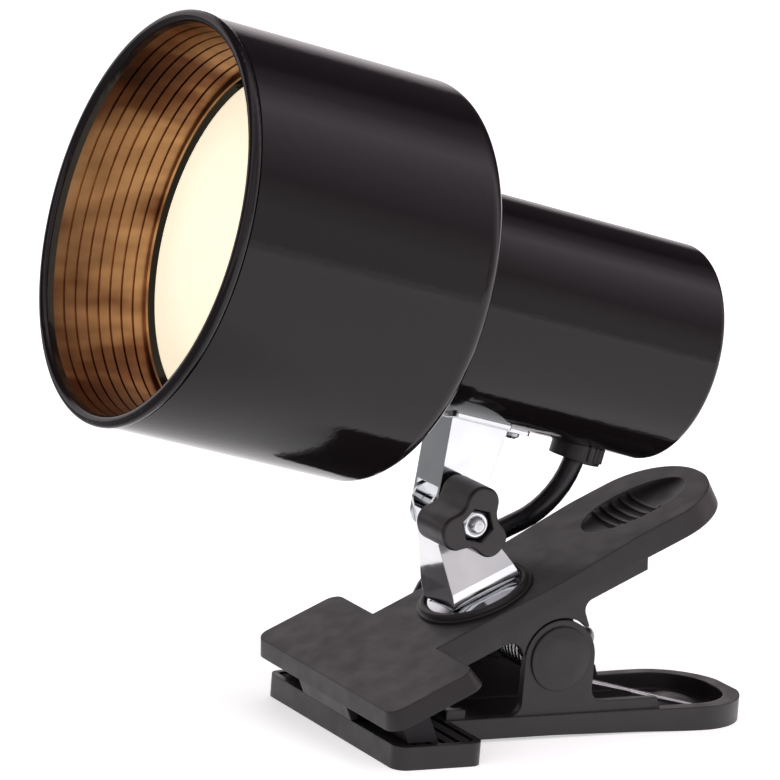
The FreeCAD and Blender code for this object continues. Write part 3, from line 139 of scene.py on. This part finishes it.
def blackEnamelGloss():
    # stoved gloss paint on sheet metal: deep warm black, soft reflections, faint orange peel
    material, tree = newMaterial("blackEnamelGloss")
    cloud = noise(tree, 9, 2)
    peel = noise(tree, 420, 2)
    tone = ramp(tree, cloud.outputs["Fac"], {0.3: "#131012", 0.7: "#191517"})
    sheen = spread(tree, noise(tree, 60, 3).outputs["Fac"], 0.07, 0.11)
    finished(tree, addNode(tree, "BsdfPrincipled", {
        "Specular IOR Level": 0.32, "Coat Weight": 0.05, "Coat Roughness": 0.03}, {
        "Base Color": tone.outputs["Color"], "Roughness": sheen.outputs["Result"],
        "Normal": bump(tree, peel.outputs["Fac"], 0.00003).outputs["Normal"]}))
    return material


def copperReflector():
    # varnished copper-coloured aluminium: patches from brown to bright, drawn out along Y
    material, tree = newMaterial("copperReflector")
    streak = noise(tree, 26, 4, 0.6, (1, 0.35, 1))
    grain = noise(tree, 1500, 2)
    tone = ramp(tree, streak.outputs["Fac"], {
        0.34: "#3f2a1f", 0.5: "#7c533a", 0.66: "#d2a679"})
    sheen = spread(tree, noise(tree, 140, 3).outputs["Fac"], 0.3, 0.46)
    finished(tree, addNode(tree, "BsdfPrincipled", {"Metallic": 1.0}, {
        "Base Color": tone.outputs["Color"], "Roughness": sheen.outputs["Result"],
        "Normal": bump(tree, grain.outputs["Fac"], 0.00002).outputs["Normal"]}))
    return material


def chromePlate():
    # bright nickel-chrome on pressed steel: mirror-like, with a trace of rolling waviness
    material, tree = newMaterial("chromePlate")
    wave = noise(tree, 70, 2)
    haze = spread(tree, noise(tree, 240, 3).outputs["Fac"], 0.05, 0.12)
    tone = ramp(tree, wave.outputs["Fac"], {0.35: "#dde1e3", 0.65: "#eceeef"})
    finished(tree, addNode(tree, "BsdfPrincipled", {"Metallic": 1.0}, {
        "Base Color": tone.outputs["Color"], "Roughness": haze.outputs["Result"],
        "Normal": bump(tree, wave.outputs["Fac"], 0.00006, 1.0, 0.0003).outputs["Normal"]}))
    return material


def zincSteel():
    # zinc-plated wire and small turned parts: bright grey, faintly mottled, marks along Y
    material, tree = newMaterial("zincSteel")
    mottle = noise(tree, 300, 3)
    drawn = noise(tree, 900, 3, 0.6, (1, 0.1, 1))
    tone = ramp(tree, mottle.outputs["Fac"], {0.3: "#b4b5b6", 0.7: "#d6d7d8"})
    sheen = spread(tree, drawn.outputs["Fac"], 0.18, 0.34)
    finished(tree, addNode(tree, "BsdfPrincipled", {"Metallic": 1.0}, {
        "Base Color": tone.outputs["Color"], "Roughness": sheen.outputs["Result"],
        "Normal": bump(tree, drawn.outputs["Fac"], 0.00002).outputs["Normal"]}))
    return material


def mouldedPlastic(name, dark, pale, low, high, grainSize, grainDepth):
    # moulded satin plastic: fine spark-eroded grain that breaks up a soft sheen
    # grainSize is the width of one cell in metres, grainDepth the height of its bump
    material, tree = newMaterial(name)
    cloud = noise(tree, 22, 3)
    grain = noise(tree, 1 / grainSize, 2, 0.7)
    tone = ramp(tree, cloud.outputs["Fac"], {0.3: dark, 0.7: pale})
    sheen = spread(tree, noise(tree, 160, 3).outputs["Fac"], low, high)
    finished(tree, addNode(tree, "BsdfPrincipled", {"Specular IOR Level": 0.5}, {
        "Base Color": tone.outputs["Color"], "Roughness": sheen.outputs["Result"],
        "Normal": bump(tree, grain.outputs["Fac"], grainDepth, 0.6, 0.0007).outputs["Normal"]}))
    return material


def padRubber():
    # matt cellular rubber: dusty black with open pores
    material, tree = newMaterial("padRubber")
    pores = addNode(tree, "TexVoronoi", {"Scale": 900.0}, {
        "Vector": objectPoint(tree, (1, 1, 1)).outputs["Vector"]})
    dust = noise(tree, 60, 4)
    tone = ramp(tree, dust.outputs["Fac"], {0.3: "#141315", 0.7: "#201f21"})
    sheen = spread(tree, dust.outputs["Fac"], 0.62, 0.8)
    finished(tree, addNode(tree, "BsdfPrincipled", {}, {
        "Base Color": tone.outputs["Color"], "Roughness": sheen.outputs["Result"],
        "Normal": bump(tree, pores.outputs["Distance"], 0.0001, 0.5).outputs["Normal"]}))
    return material


def cordPvc():
    # extruded flexible PVC: black with a slight uneven ripple and a soft waxy sheen
    material, tree = newMaterial("cordPvc")
    ripple = noise(tree, 110, 3)
    wax = noise(tree, 420, 3)
    tone = ramp(tree, wax.outputs["Fac"], {0.3: "#0f0e10", 0.7: "#171518"})
    sheen = spread(tree, wax.outputs["Fac"], 0.24, 0.36)
    finished(tree, addNode(tree, "BsdfPrincipled", {}, {
        "Base Color": tone.outputs["Color"], "Roughness": sheen.outputs["Result"],
        "Normal": bump(tree, ripple.outputs["Fac"], 0.00025, 0.5).outputs["Normal"]}))
    return material


def glazedPorcelain():
    # white glazed ceramic with a warm cast and tiny specks
    material, tree = newMaterial("glazedPorcelain")
    speck = noise(tree, 380, 4)
    tone = ramp(tree, speck.outputs["Fac"], {0.25: "#d8d4c8", 0.45: "#e9e6de"})
    sheen = spread(tree, noise(tree, 90, 2).outputs["Fac"], 0.12, 0.24)
    finished(tree, addNode(tree, "BsdfPrincipled", {"Coat Weight": 0.5}, {
        "Base Color": tone.outputs["Color"], "Roughness": sheen.outputs["Result"],
        "Normal": bump(tree, speck.outputs["Fac"], 0.00003).outputs["Normal"]}))
    return material


def thinMetal(name, dark, pale, low, high):
    # stamped contact metal: fine rolling marks along Y and patches of tarnish
    material, tree = newMaterial(name)
    tarnish = noise(tree, 120, 4)
    rolled = noise(tree, 1200, 3, 0.6, (1, 0.1, 1))
    tone = ramp(tree, tarnish.outputs["Fac"], {0.3: dark, 0.7: pale})
    sheen = spread(tree, rolled.outputs["Fac"], low, high)
    finished(tree, addNode(tree, "BsdfPrincipled", {"Metallic": 1.0}, {
        "Base Color": tone.outputs["Color"], "Roughness": sheen.outputs["Result"],
        "Normal": bump(tree, rolled.outputs["Fac"], 0.00002).outputs["Normal"]}))
    return material


def frostedLamp():
    # reflector lamp with a frosted face: cream glow, warmer towards +X, fine etched grain
    material, tree = newMaterial("frostedLamp")
    coordinates = addNode(tree, "TexCoord")
    axes = addNode(tree, "SeparateXYZ", links={"Vector": coordinates.outputs["Object"]})
    across = addNode(tree, "MapRange", {"From Min": -0.05, "From Max": 0.05},
                     {"Value": axes.outputs["X"]})
    etch = noise(tree, 900, 3)
    glowTone = ramp(tree, across.outputs["Result"], {
        0.0: "#fff3cf", 0.6: "#ffefc4", 1.0: "#ffdc98"})
    body = ramp(tree, etch.outputs["Fac"], {0.3: "#f3ecdb", 0.7: "#fbf7ec"})
    sheen = spread(tree, etch.outputs["Fac"], 0.3, 0.45)
    finished(tree, addNode(tree, "BsdfPrincipled", {"Emission Strength": 0.6}, {
        "Base Color": body.outputs["Color"], "Emission Color": glowTone.outputs["Color"],
        "Roughness": sheen.outputs["Result"],
        "Normal": bump(tree, etch.outputs["Fac"], 0.00004).outputs["Normal"]}))
    return material


enamel = blackEnamelGloss()
chrome = chromePlate()
zinc = zincSteel()
satinBlack = mouldedPlastic("satinAbs", "#1d1a1c", "#201d1f", 0.34, 0.46, 0.0008, 0.00008)
knobBlack = mouldedPlastic("knobPhenolic", "#211d20", "#272326", 0.32, 0.44, 0.0006, 0.00005)
rubber = padRubber()
pvc = cordPvc()
contactBrass = thinMetal("contactBrass", "#b28a3c", "#d2aa58", 0.24, 0.4)
capAluminium = thinMetal("capAluminium", "#b9babc", "#d0d1d3", 0.28, 0.42)
finishes = {
    enamel: ["shade", "rim_ring", "rear_housing"],
    copperReflector(): ["baffle"],
    chrome: ["lower_bracket", "upper_bracket", "base_disc", "tilt_bolt", "knob_nut"],
    zinc: ["pivot_pin", "torsion_spring", "swivel_rivet", "rivet_washer", "lock_washer",
           "bracket_screws", "shade_screws", "socket_bracket", "socket_screws"],
    satinBlack: ["lower_clip", "upper_lever", "pivot_caps", "swivel_seat", "gland_body",
                 "gland_collar", "cable_tie"],
    knobBlack: ["knob"],
    rubber: ["lower_pad", "upper_pad"],
    pvc: ["plug_body"],
    glazedPorcelain(): ["lampholder"],
    contactBrass: ["screw_shell", "centre_contact", "plug_blades"],
    capAluminium: ["bulb_base"],
    frostedLamp(): ["bulb_glass"],
}
for finish, nodeNames in finishes.items():
    dress(nodeNames, finish)
print("finishes on")


# meshes from point grids

def gridMesh(name, points, capped, material):
    # points: rows x columns x 3 array, each row a closed ring; faces join each row to the next
    rows, columns = points.shape[:2]
    index = np.arange(rows * columns).reshape(rows, columns)
    after = np.roll(index, -1, axis=1)
    quads = np.stack([index[:-1], after[:-1], after[1:], index[1:]], axis=-1)
    faces = quads.reshape(-1, 4).tolist()
    if capped:
        faces.append(index[0, ::-1].tolist())
        faces.append(index[-1].tolist())
    mesh = bpy.data.meshes.new(name)
    mesh.from_pydata(points.reshape(-1, 3).tolist(), [], faces)
    mesh.validate()
    mesh.polygons.foreach_set("use_smooth", [len(p.vertices) == 4 for p in mesh.polygons])
    mesh.materials.append(material)
    piece = bpy.data.objects.new(name, mesh)
    bpy.context.scene.collection.objects.link(piece)
    return piece


# cord: leaves the collar straight down, bends behind the clip and lies there in a flat coil

cordSizes = {
    "radius": 0.003,
    "around": 20,
    "leadLength": 0.037,
    "midLength": 0.038,
    "coilCentre": (-0.0592, 0.0458),
    "outerTurn": 0.0340,
    "turnPitch": 0.00612,
    "bottomTurns": 2.75,
    "climbTurns": 0.25,
    "crossTurns": 0.19,
    "crossTo": 0.0405,
    "floorLevel": 0.0038,
    "topLevel": 0.0099,
    "pointsPerTurn": 24,
    "crossEase": 1.4,
    "leadHold": 0.15,
    "restsBelow": 0.016,
    "plugBack": (-0.0864, 0.0949, 0.0055),
}
routePoints = [
    (0.0, 0.04766, 0.07785),
    (0.0, 0.0459, 0.07056),
    (-0.0042, 0.0393, 0.0594),
    (-0.0135, 0.0339, 0.0526),
    (-0.0250, 0.0273, 0.0440),
    (-0.0304, 0.0188, 0.0315),
    (-0.0298, 0.0157, 0.0170),
    (-0.0280, 0.0211, 0.0066),
    (-0.0258, 0.0325, 0.0038),
]
tailPoints = [
    (-0.0545, 0.0880, 0.0072),
    (-0.0645, 0.0900, 0.0046),
    (-0.0751, 0.0908, 0.0048),
    cordSizes["plugBack"],
]


def coilPoints(values):
    # r = outer - pitch * turns along the floor, then up one diameter and out across the turns
    perTurn = values["pointsPerTurn"]
    bottom = np.arange(round(values["bottomTurns"] * perTurn) + 1) / perTurn
    climb = np.arange(1, round(values["climbTurns"] * perTurn) + 1) / perTurn
    cross = np.arange(1, round(values["crossTurns"] * perTurn) + 1) / perTurn
    inner = values["outerTurn"] - values["turnPitch"] * values["bottomTurns"]
    turn = np.concatenate([bottom, bottom[-1] + climb, bottom[-1] + climb[-1] + cross])
    outward = (cross / cross[-1]) ** values["crossEase"]
    radius = np.concatenate([values["outerTurn"] - values["turnPitch"] * bottom,
                             np.full(len(climb), inner),
                             inner + (values["crossTo"] - inner) * outward])
    rise = values["topLevel"] - values["floorLevel"]
    share = climb / climb[-1]
    height = np.concatenate([np.full(len(bottom), values["floorLevel"]),
                             values["floorLevel"] + rise * share * share * (3 - 2 * share),
                             np.full(len(cross), values["topLevel"])])
    angle = 2 * math.pi * turn
    centre = values["coilCentre"]
    return np.stack([centre[0] + radius * np.cos(angle),
                     centre[1] + radius * np.sin(angle), height], axis=1)


def splineLine(points, steps=4, apartBy=1e-6):
    # the smooth line of an order 3 NURBS spline with these control points
    curve = bpy.data.curves.new("cordLine", "CURVE")
    curve.dimensions = "3D"
    spline = curve.splines.new("NURBS")
    spline.points.add(len(points) - 1)
    spline.points.foreach_set("co", np.c_[points, np.ones(len(points))].ravel())
    spline.order_u = 3
    spline.use_endpoint_u = True
    spline.resolution_u = steps
    holder = bpy.data.objects.new("cordLine", curve)
    bpy.context.scene.collection.objects.link(holder)
    bpy.context.view_layer.update()
    mesh = bpy.data.meshes.new_from_object(holder)
    line = np.empty(len(mesh.vertices) * 3)
    mesh.vertices.foreach_get("co", line)
    bpy.data.objects.remove(holder)
    bpy.data.meshes.remove(mesh)
    line = line.reshape(-1, 3)
    apart = np.r_[True, np.linalg.norm(np.diff(line, axis=0), axis=1) > apartBy]
    return line[apart]


def tubeGrid(line, radius, around):
    # rings square to the line: the first side vector is carried along without twisting
    along = np.gradient(line, axis=0)
    along /= np.linalg.norm(along, axis=1)[:, None]
    side = np.cross(along[0], (0.0, 0.0, 1.0) if abs(along[0][2]) < 0.9 else (1.0, 0.0, 0.0))
    sides = np.empty_like(line)
    for row, heading in enumerate(along):
        side = side - heading * np.dot(side, heading)
        side /= np.linalg.norm(side)
        sides[row] = side
    ups = np.cross(along, sides)
    angle = np.linspace(0, 2 * math.pi, around, endpoint=False)
    return line[:, None] + radius * (sides[:, None] * np.cos(angle)[None, :, None]
                                     + ups[:, None] * np.sin(angle)[None, :, None])


cordLine = splineLine(np.concatenate([routePoints, coilPoints(cordSizes), tailPoints]))
distance = np.r_[0, np.cumsum(np.linalg.norm(np.diff(cordLine, axis=0), axis=1))]
leadEnd = int(np.searchsorted(distance, cordSizes["leadLength"]))
midEnd = int(np.searchsorted(distance, cordSizes["leadLength"] + cordSizes["midLength"]))
print("cord length", round(distance[-1], 4))


# nut and threaded end of the tilt bolt

boltDetails = {
    "boltEnd": 0.0254,
    "threadRadius": 0.00212,
    "threadDepth": 0.00024,
    "pitch": 0.0007,
    "stepsPerPitch": 8,
    "threadStart": 0.0205,
    "domeStart": 0.0004,
    "domeLength": 0.0005,
    "domeRings": 6,
    "domeFrom": 0.15,
    "domeShut": 0.999,
    "nutFlats": 0.0078,
    "nutCrown": 0.0033,
    "nutBoreGap": 0.00008,
    "nutBoreChamfer": 0.0003,
    "chamferDegrees": 38,
    "edgeRound": 0.00012,
    "crownInset": 0.0001,
    "crownDrop": 0.00002,
    "columns": 96,
}
nutLow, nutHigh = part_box("knob_nut")
axisY, axisZ = (nutLow[1] + nutHigh[1]) / 2, (nutLow[2] + nutHigh[2]) / 2


def aroundBolt(x, radius, angle):
    return np.stack([x, axisY + radius * np.cos(angle), axisZ + radius * np.sin(angle)], axis=-1)


def chamferedNut(values):
    # outer radius follows the hexagon: flats / 2 / cos(angle from the middle of a flat)
    nutMesh = nodes["knob_nut"].data
    corners = np.array([tuple(v.co) for v in nutMesh.vertices])
    offset = corners[:, 1:] - (axisY, axisZ)
    corner = offset[np.argmax(np.linalg.norm(offset, axis=1))]
    cornerAngle = math.atan2(corner[1], corner[0])
    angle = np.linspace(0, 2 * math.pi, values["columns"], endpoint=False)
    fromFlat = (angle - cornerAngle) % (math.pi / 3) - math.pi / 6
    hexagon = values["nutFlats"] / 2 / np.cos(fromFlat)
    bore = np.full_like(angle, values["threadRadius"] + values["nutBoreGap"])
    crown = np.full_like(angle, values["nutCrown"])
    top = nutHigh[0]
    slope = math.tan(math.radians(values["chamferDegrees"]))
    eased = hexagon - values["edgeRound"]
    bevel = values["nutBoreChamfer"]
    rows = [
        (bore, nutLow[0]), (hexagon, nutLow[0]),
        (hexagon, top - (hexagon - crown) * slope),
        (eased, top - (eased - crown) * slope),
        (crown, top - values["crownDrop"]), (crown - values["crownInset"], top),
        (bore + bevel, top), (bore, top - bevel), (bore, nutLow[0]),
    ]
    points = np.stack([aroundBolt(np.broadcast_to(x, angle.shape), radius, angle)
                       for radius, x in rows])
    return gridMesh("knobNut", points, False, chrome)


def threadedEnd(values):
    # radius = crest - depth * |2 * wave - 1|, where wave is the fraction of length / pitch - turn
    # a dome closes it: radius = root * sqrt(1 - share^2), where share runs along the dome
    angle = np.linspace(0, 2 * math.pi, values["columns"] // 2, endpoint=False)
    bodyEnd = values["boltEnd"] - values["domeStart"]
    length = np.arange(values["threadStart"], bodyEnd, values["pitch"] / values["stepsPerPitch"])
    wave = (length[:, None] / values["pitch"] - angle[None] / (2 * math.pi)) % 1
    radius = values["threadRadius"] - values["threadDepth"] * np.abs(2 * wave - 1)
    x = np.broadcast_to(length[:, None], radius.shape)
    body = aroundBolt(x, radius, np.broadcast_to(angle, radius.shape))
    share = np.linspace(values["domeFrom"], 1, values["domeRings"])[:, None]
    root = values["threadRadius"] - values["threadDepth"]
    domeRadius = root * np.sqrt(1 - share * share * values["domeShut"])
    domeX = bodyEnd + values["domeLength"] * share
    grid = (values["domeRings"], len(angle))
    dome = aroundBolt(np.broadcast_to(domeX, grid), np.broadcast_to(domeRadius, grid),
                      np.broadcast_to(angle, grid))
    return gridMesh("boltThread", np.concatenate([body, dome]), True, zinc)


nutPiece = chamferedNut(boltDetails)
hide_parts("knob_nut")
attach(nutPiece, "knob")
threadPiece = threadedEnd(boltDetails)
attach(threadPiece, "bracket")
print("nut and thread")


# torsion spring, one leg on each half of the clip, which winds up as the jaws open: here a
# smoothed copy of the CAD wire set at rest

springBlend = {
    "baseSide": (0.0078, 0.0372, 0.0229),
    "leverSide": (-0.0078, 0.0372, 0.0229),
    "mergeDistance": 1e-6,
    "sharpDegrees": 40,
}


def woundSpring(values):
    # the CAD wire's own surface, its double points merged, smooth but for the cut ends
    mesh = nodes["torsion_spring"].data.copy()
    mesh.name = "torsionSpring"
    work = bmesh.new()
    work.from_mesh(mesh)
    bmesh.ops.remove_doubles(work, verts=work.verts, dist=values["mergeDistance"])
    for face in work.faces:
        face.smooth = True
    work.to_mesh(mesh)
    work.free()
    if "custom_normal" in mesh.attributes:
        mesh.attributes.remove(mesh.attributes["custom_normal"])
    mesh.set_sharp_from_angle(angle=math.radians(values["sharpDegrees"]))
    piece = bpy.data.objects.new("torsionSpring", mesh)
    bpy.context.scene.collection.objects.link(piece)
    return piece


springPiece = woundSpring(springBlend)
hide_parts("torsion_spring")
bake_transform(springPiece)
print("spring")


# moulded plug: flat oval grip that narrows to a ribbed sleeve round the cord

plugShape = {
    "heading": 160,
    "sections": 72,
    "around": 64,
    "length": 0.024,
    "halfWidth": 0.0095,
    "halfHeight": 0.0055,
    "sleeveRadius": 0.0042,
    "sleeveEnd": 0.3,
    "swellStart": 0.24,
    "swellEnd": 0.62,
    "ribDepth": 0.00045,
    "ribs": 4,
    "faceRound": 0.06,
    "faceDrop": 0.35,
    "squareness": 1.4,
}


def mouldedPlug(values):
    # half sizes go from round sleeve to grip by 3 t^2 - 2 t^3, with sin^2 ribs on the sleeve
    # each ring is a superellipse: wide * |cos|^power across, tall * |sin|^power up
    share = np.linspace(0, 1, values["sections"])[:, None]
    swell = values["swellEnd"] - values["swellStart"]
    blend = np.clip((share - values["swellStart"]) / swell, 0, 1)
    blend = blend * blend * (3 - 2 * blend)
    sleeve = np.clip(share / values["sleeveEnd"], 0, 1)
    rib = values["ribDepth"] * np.sin(math.pi * values["ribs"] * sleeve) ** 2 * (sleeve < 1)
    toFace = np.clip((share - 1 + values["faceRound"]) / values["faceRound"], 0, 1)
    rounding = np.sqrt(1 - toFace ** 2 * values["faceDrop"])
    wide = (values["sleeveRadius"] + rib
            + (values["halfWidth"] - values["sleeveRadius"]) * blend) * rounding
    tall = (values["sleeveRadius"] + rib
            + (values["halfHeight"] - values["sleeveRadius"]) * blend) * rounding
    angle = np.linspace(0, 2 * math.pi, values["around"], endpoint=False)[None]
    power = 2 / (2 + values["squareness"] * blend)
    across = wide * np.sign(np.cos(angle)) * np.abs(np.cos(angle)) ** power
    upward = tall * np.sign(np.sin(angle)) * np.abs(np.sin(angle)) ** power
    turn = math.radians(values["heading"])
    forward = np.array([math.cos(turn), math.sin(turn)])
    sideways = np.array([-forward[1], forward[0]])
    back = np.array(cordSizes["plugBack"])
    along = np.broadcast_to(share * values["length"], across.shape)
    points = np.stack([back[0] + along * forward[0] - across * sideways[0],
                       back[1] + along * forward[1] - across * sideways[1],
                       back[2] + upward], axis=-1)
    return gridMesh("plugGrip", points, True, pvc)


plugPiece = mouldedPlug(plugShape)
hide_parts("plug_body")
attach(plugPiece, "base")
print("plug")


# cord in three stretches, one for each joint it passes, each listed with the bodies on either side

stretches = {
    "cordLead": (0, leadEnd, "head", "bracket", ["cord_lead"]),
    "cordMid": (leadEnd, midEnd, "bracket", "lever", ["cord_mid"]),
    "cordMain": (midEnd, len(cordLine) - 1, "lever", "base",
                 ["cord_drop", "cord_coil", "cord_tail"]),
}
for name, (first, last, bodyA, bodyB, solids) in stretches.items():
    line = cordLine[first:last + 1]
    piece = gridMesh(name, tubeGrid(line, cordSizes["radius"], cordSizes["around"]), True, pvc)
    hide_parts(*solids)
    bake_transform(piece)
print("cord laid")


# stage: floor, lamps, camera

cameraView = {
    "azimuth": 61.66,
    "elevation": 11.37,
    "roll": 4.61,
    "lens": 230.8,
    "aim": (-0.01456, -0.00536, 0.09331),
    "distance": 1.3895,
    "sensorWidth": 36,
    "clipEnd": 60,
}


def viewAxes(azimuth, elevation, roll):
    # right, up and back of a view turned about the vertical and raised from the level
    a, e, r = (math.radians(v) for v in (azimuth, elevation, roll))
    back = Vector((math.sin(a) * math.cos(e), -math.cos(a) * math.cos(e), math.sin(e)))
    right = Vector((math.cos(a), math.sin(a), 0))
    up = back.cross(right)
    return right * math.cos(r) + up * math.sin(r), up * math.cos(r) - right * math.sin(r), back


right, up, back = viewAxes(cameraView["azimuth"], cameraView["elevation"], cameraView["roll"])
cameraData = bpy.data.cameras.new("camera")
cameraData.lens = cameraView["lens"]
cameraData.sensor_width = cameraView["sensorWidth"]
cameraData.clip_end = cameraView["clipEnd"]
camera = bpy.data.objects.new("camera", cameraData)
place = Vector(cameraView["aim"]) + back * cameraView["distance"]
camera.matrix_world = Matrix.Translation(place) @ Matrix((right, up, back)).transposed().to_4x4()
bpy.context.scene.collection.objects.link(camera)
bpy.context.scene.camera = camera

stageSizes = {
    "floorHalf": 14.0,
    "floorGlow": 0.5,
    "duskFrom": -0.02,
    "duskTo": -0.16,
    "duskShare": 0.85,
    "duskGlow": 0.4,
    "domeStrength": 1.3,
    "lampsAimAt": (0, 0, 0.1),
}


def paperSweep(values):
    # pale matt paper that keeps shadows, lifted to white where it is seen or mirrored
    # what metal mirrors of it darkens towards -Y, a painted dark reflection that only glossy rays
    # see, which gives the brackets an edge on the white
    material, tree = newMaterial("paperSweep")
    diffuse = addNode(tree, "BsdfDiffuse", {"Color": linearColour("#f4f4f4")})
    glow = addNode(tree, "Emission", {"Color": (1, 1, 1, 1), "Strength": values["floorGlow"]})
    rays = addNode(tree, "LightPath")
    seen = addNode(tree, "Math", {"operation": "MAXIMUM"}, {
        0: rays.outputs["Is Camera Ray"], 1: rays.outputs["Is Glossy Ray"]})
    seenToo = addNode(tree, "Math", {"operation": "MAXIMUM"}, {
        0: seen.outputs[0], 1: rays.outputs["Is Transmission Ray"]})
    lift = addNode(tree, "AddShader", links={0: diffuse.outputs[0], 1: glow.outputs[0]})
    mix = addNode(tree, "MixShader", links={
        0: seenToo.outputs[0], 1: diffuse.outputs[0], 2: lift.outputs[0]})
    point = addNode(tree, "TexCoord")
    axes = addNode(tree, "SeparateXYZ", links={"Vector": point.outputs["Object"]})
    # painted dark reflection: for glossy rays only, the floor fades to a dim grey towards -Y
    dusk = addNode(tree, "MapRange", {
        "From Min": values["duskFrom"], "From Max": values["duskTo"],
        "To Min": 0.0, "To Max": values["duskShare"]}, {"Value": axes.outputs["Y"]})
    mirroredDusk = addNode(tree, "Math", {"operation": "MULTIPLY"}, {
        0: dusk.outputs["Result"], 1: rays.outputs["Is Glossy Ray"]})
    dim = addNode(tree, "Emission", {
        "Color": linearColour("#5d6467"), "Strength": values["duskGlow"]})
    graded = addNode(tree, "MixShader", links={
        0: mirroredDusk.outputs[0], 1: mix.outputs[0], 2: dim.outputs[0]})
    addNode(tree, "OutputMaterial", links={"Surface": graded.outputs[0]})
    return material


def studioWorld(values):
    # soft room seen in the gloss: a bright strip at -X, a dark band, then a broad light side
    world = bpy.data.worlds.new("studio")
    world.use_nodes = True
    tree = world.node_tree
    tree.nodes.clear()
    direction = addNode(tree, "TexCoord")
    axes = addNode(tree, "SeparateXYZ", links={"Vector": direction.outputs["Generated"]})
    side = addNode(tree, "MapRange", {"From Min": -1.0, "From Max": 1.0},
                   {"Value": axes.outputs["X"]})
    dome = ramp(tree, side.outputs["Result"], {
        0.0: "#efe8eb", 0.09: "#d0c8cc", 0.14: "#3a3538", 0.3: "#2c282c", 0.41: "#857b81",
        0.54: "#f2e6ee", 0.66: "#d3c8cf", 0.82: "#978e94", 0.9: "#cbc5c8", 1.0: "#beb8bb"})
    background = addNode(tree, "Background", {"Strength": values["domeStrength"]},
                         {"Color": dome.outputs["Color"]})
    addNode(tree, "OutputWorld", links={"Surface": background.outputs[0]})
    return world


corners = np.array([(-1, -1, 0), (1, -1, 0), (1, 1, 0), (-1, 1, 0)]) * stageSizes["floorHalf"]
floorMesh = bpy.data.meshes.new("floor")
floorMesh.from_pydata(corners.tolist(), [], [(0, 1, 2, 3)])
floorMesh.materials.append(paperSweep(stageSizes))
floor = bpy.data.objects.new("floor", floorMesh)
bpy.context.scene.collection.objects.link(floor)
bpy.context.scene.world = studioWorld(stageSizes)

# the gloss mirrors the room only, never these lamps
softboxes = {
    "keyBox": {"at": (0.9, -1.3, 1.5), "size": (1.4, 1.4), "watts": 11},
    "sideBox": {"at": (1.5, 1.1, 0.7), "size": (0.9, 1.2), "watts": 4},
    "rearBox": {"at": (-1.4, 0.8, 1.4), "size": (1.4, 1.4), "watts": 15},
}
for name, box in softboxes.items():
    lampData = bpy.data.lights.new(name, "AREA")
    lampData.shape = "RECTANGLE"
    lampData.size, lampData.size_y = box["size"]
    lampData.energy = box["watts"]
    lamp = bpy.data.objects.new(name, lampData)
    lamp.location = box["at"]
    aim = Vector(stageSizes["lampsAimAt"]) - Vector(box["at"])
    lamp.rotation_euler = aim.to_track_quat("-Z", "Y").to_euler()
    lamp.visible_glossy = False
    bpy.context.scene.collection.objects.link(lamp)

bpy.context.scene.view_settings.view_transform = "Standard"
print("stage set")
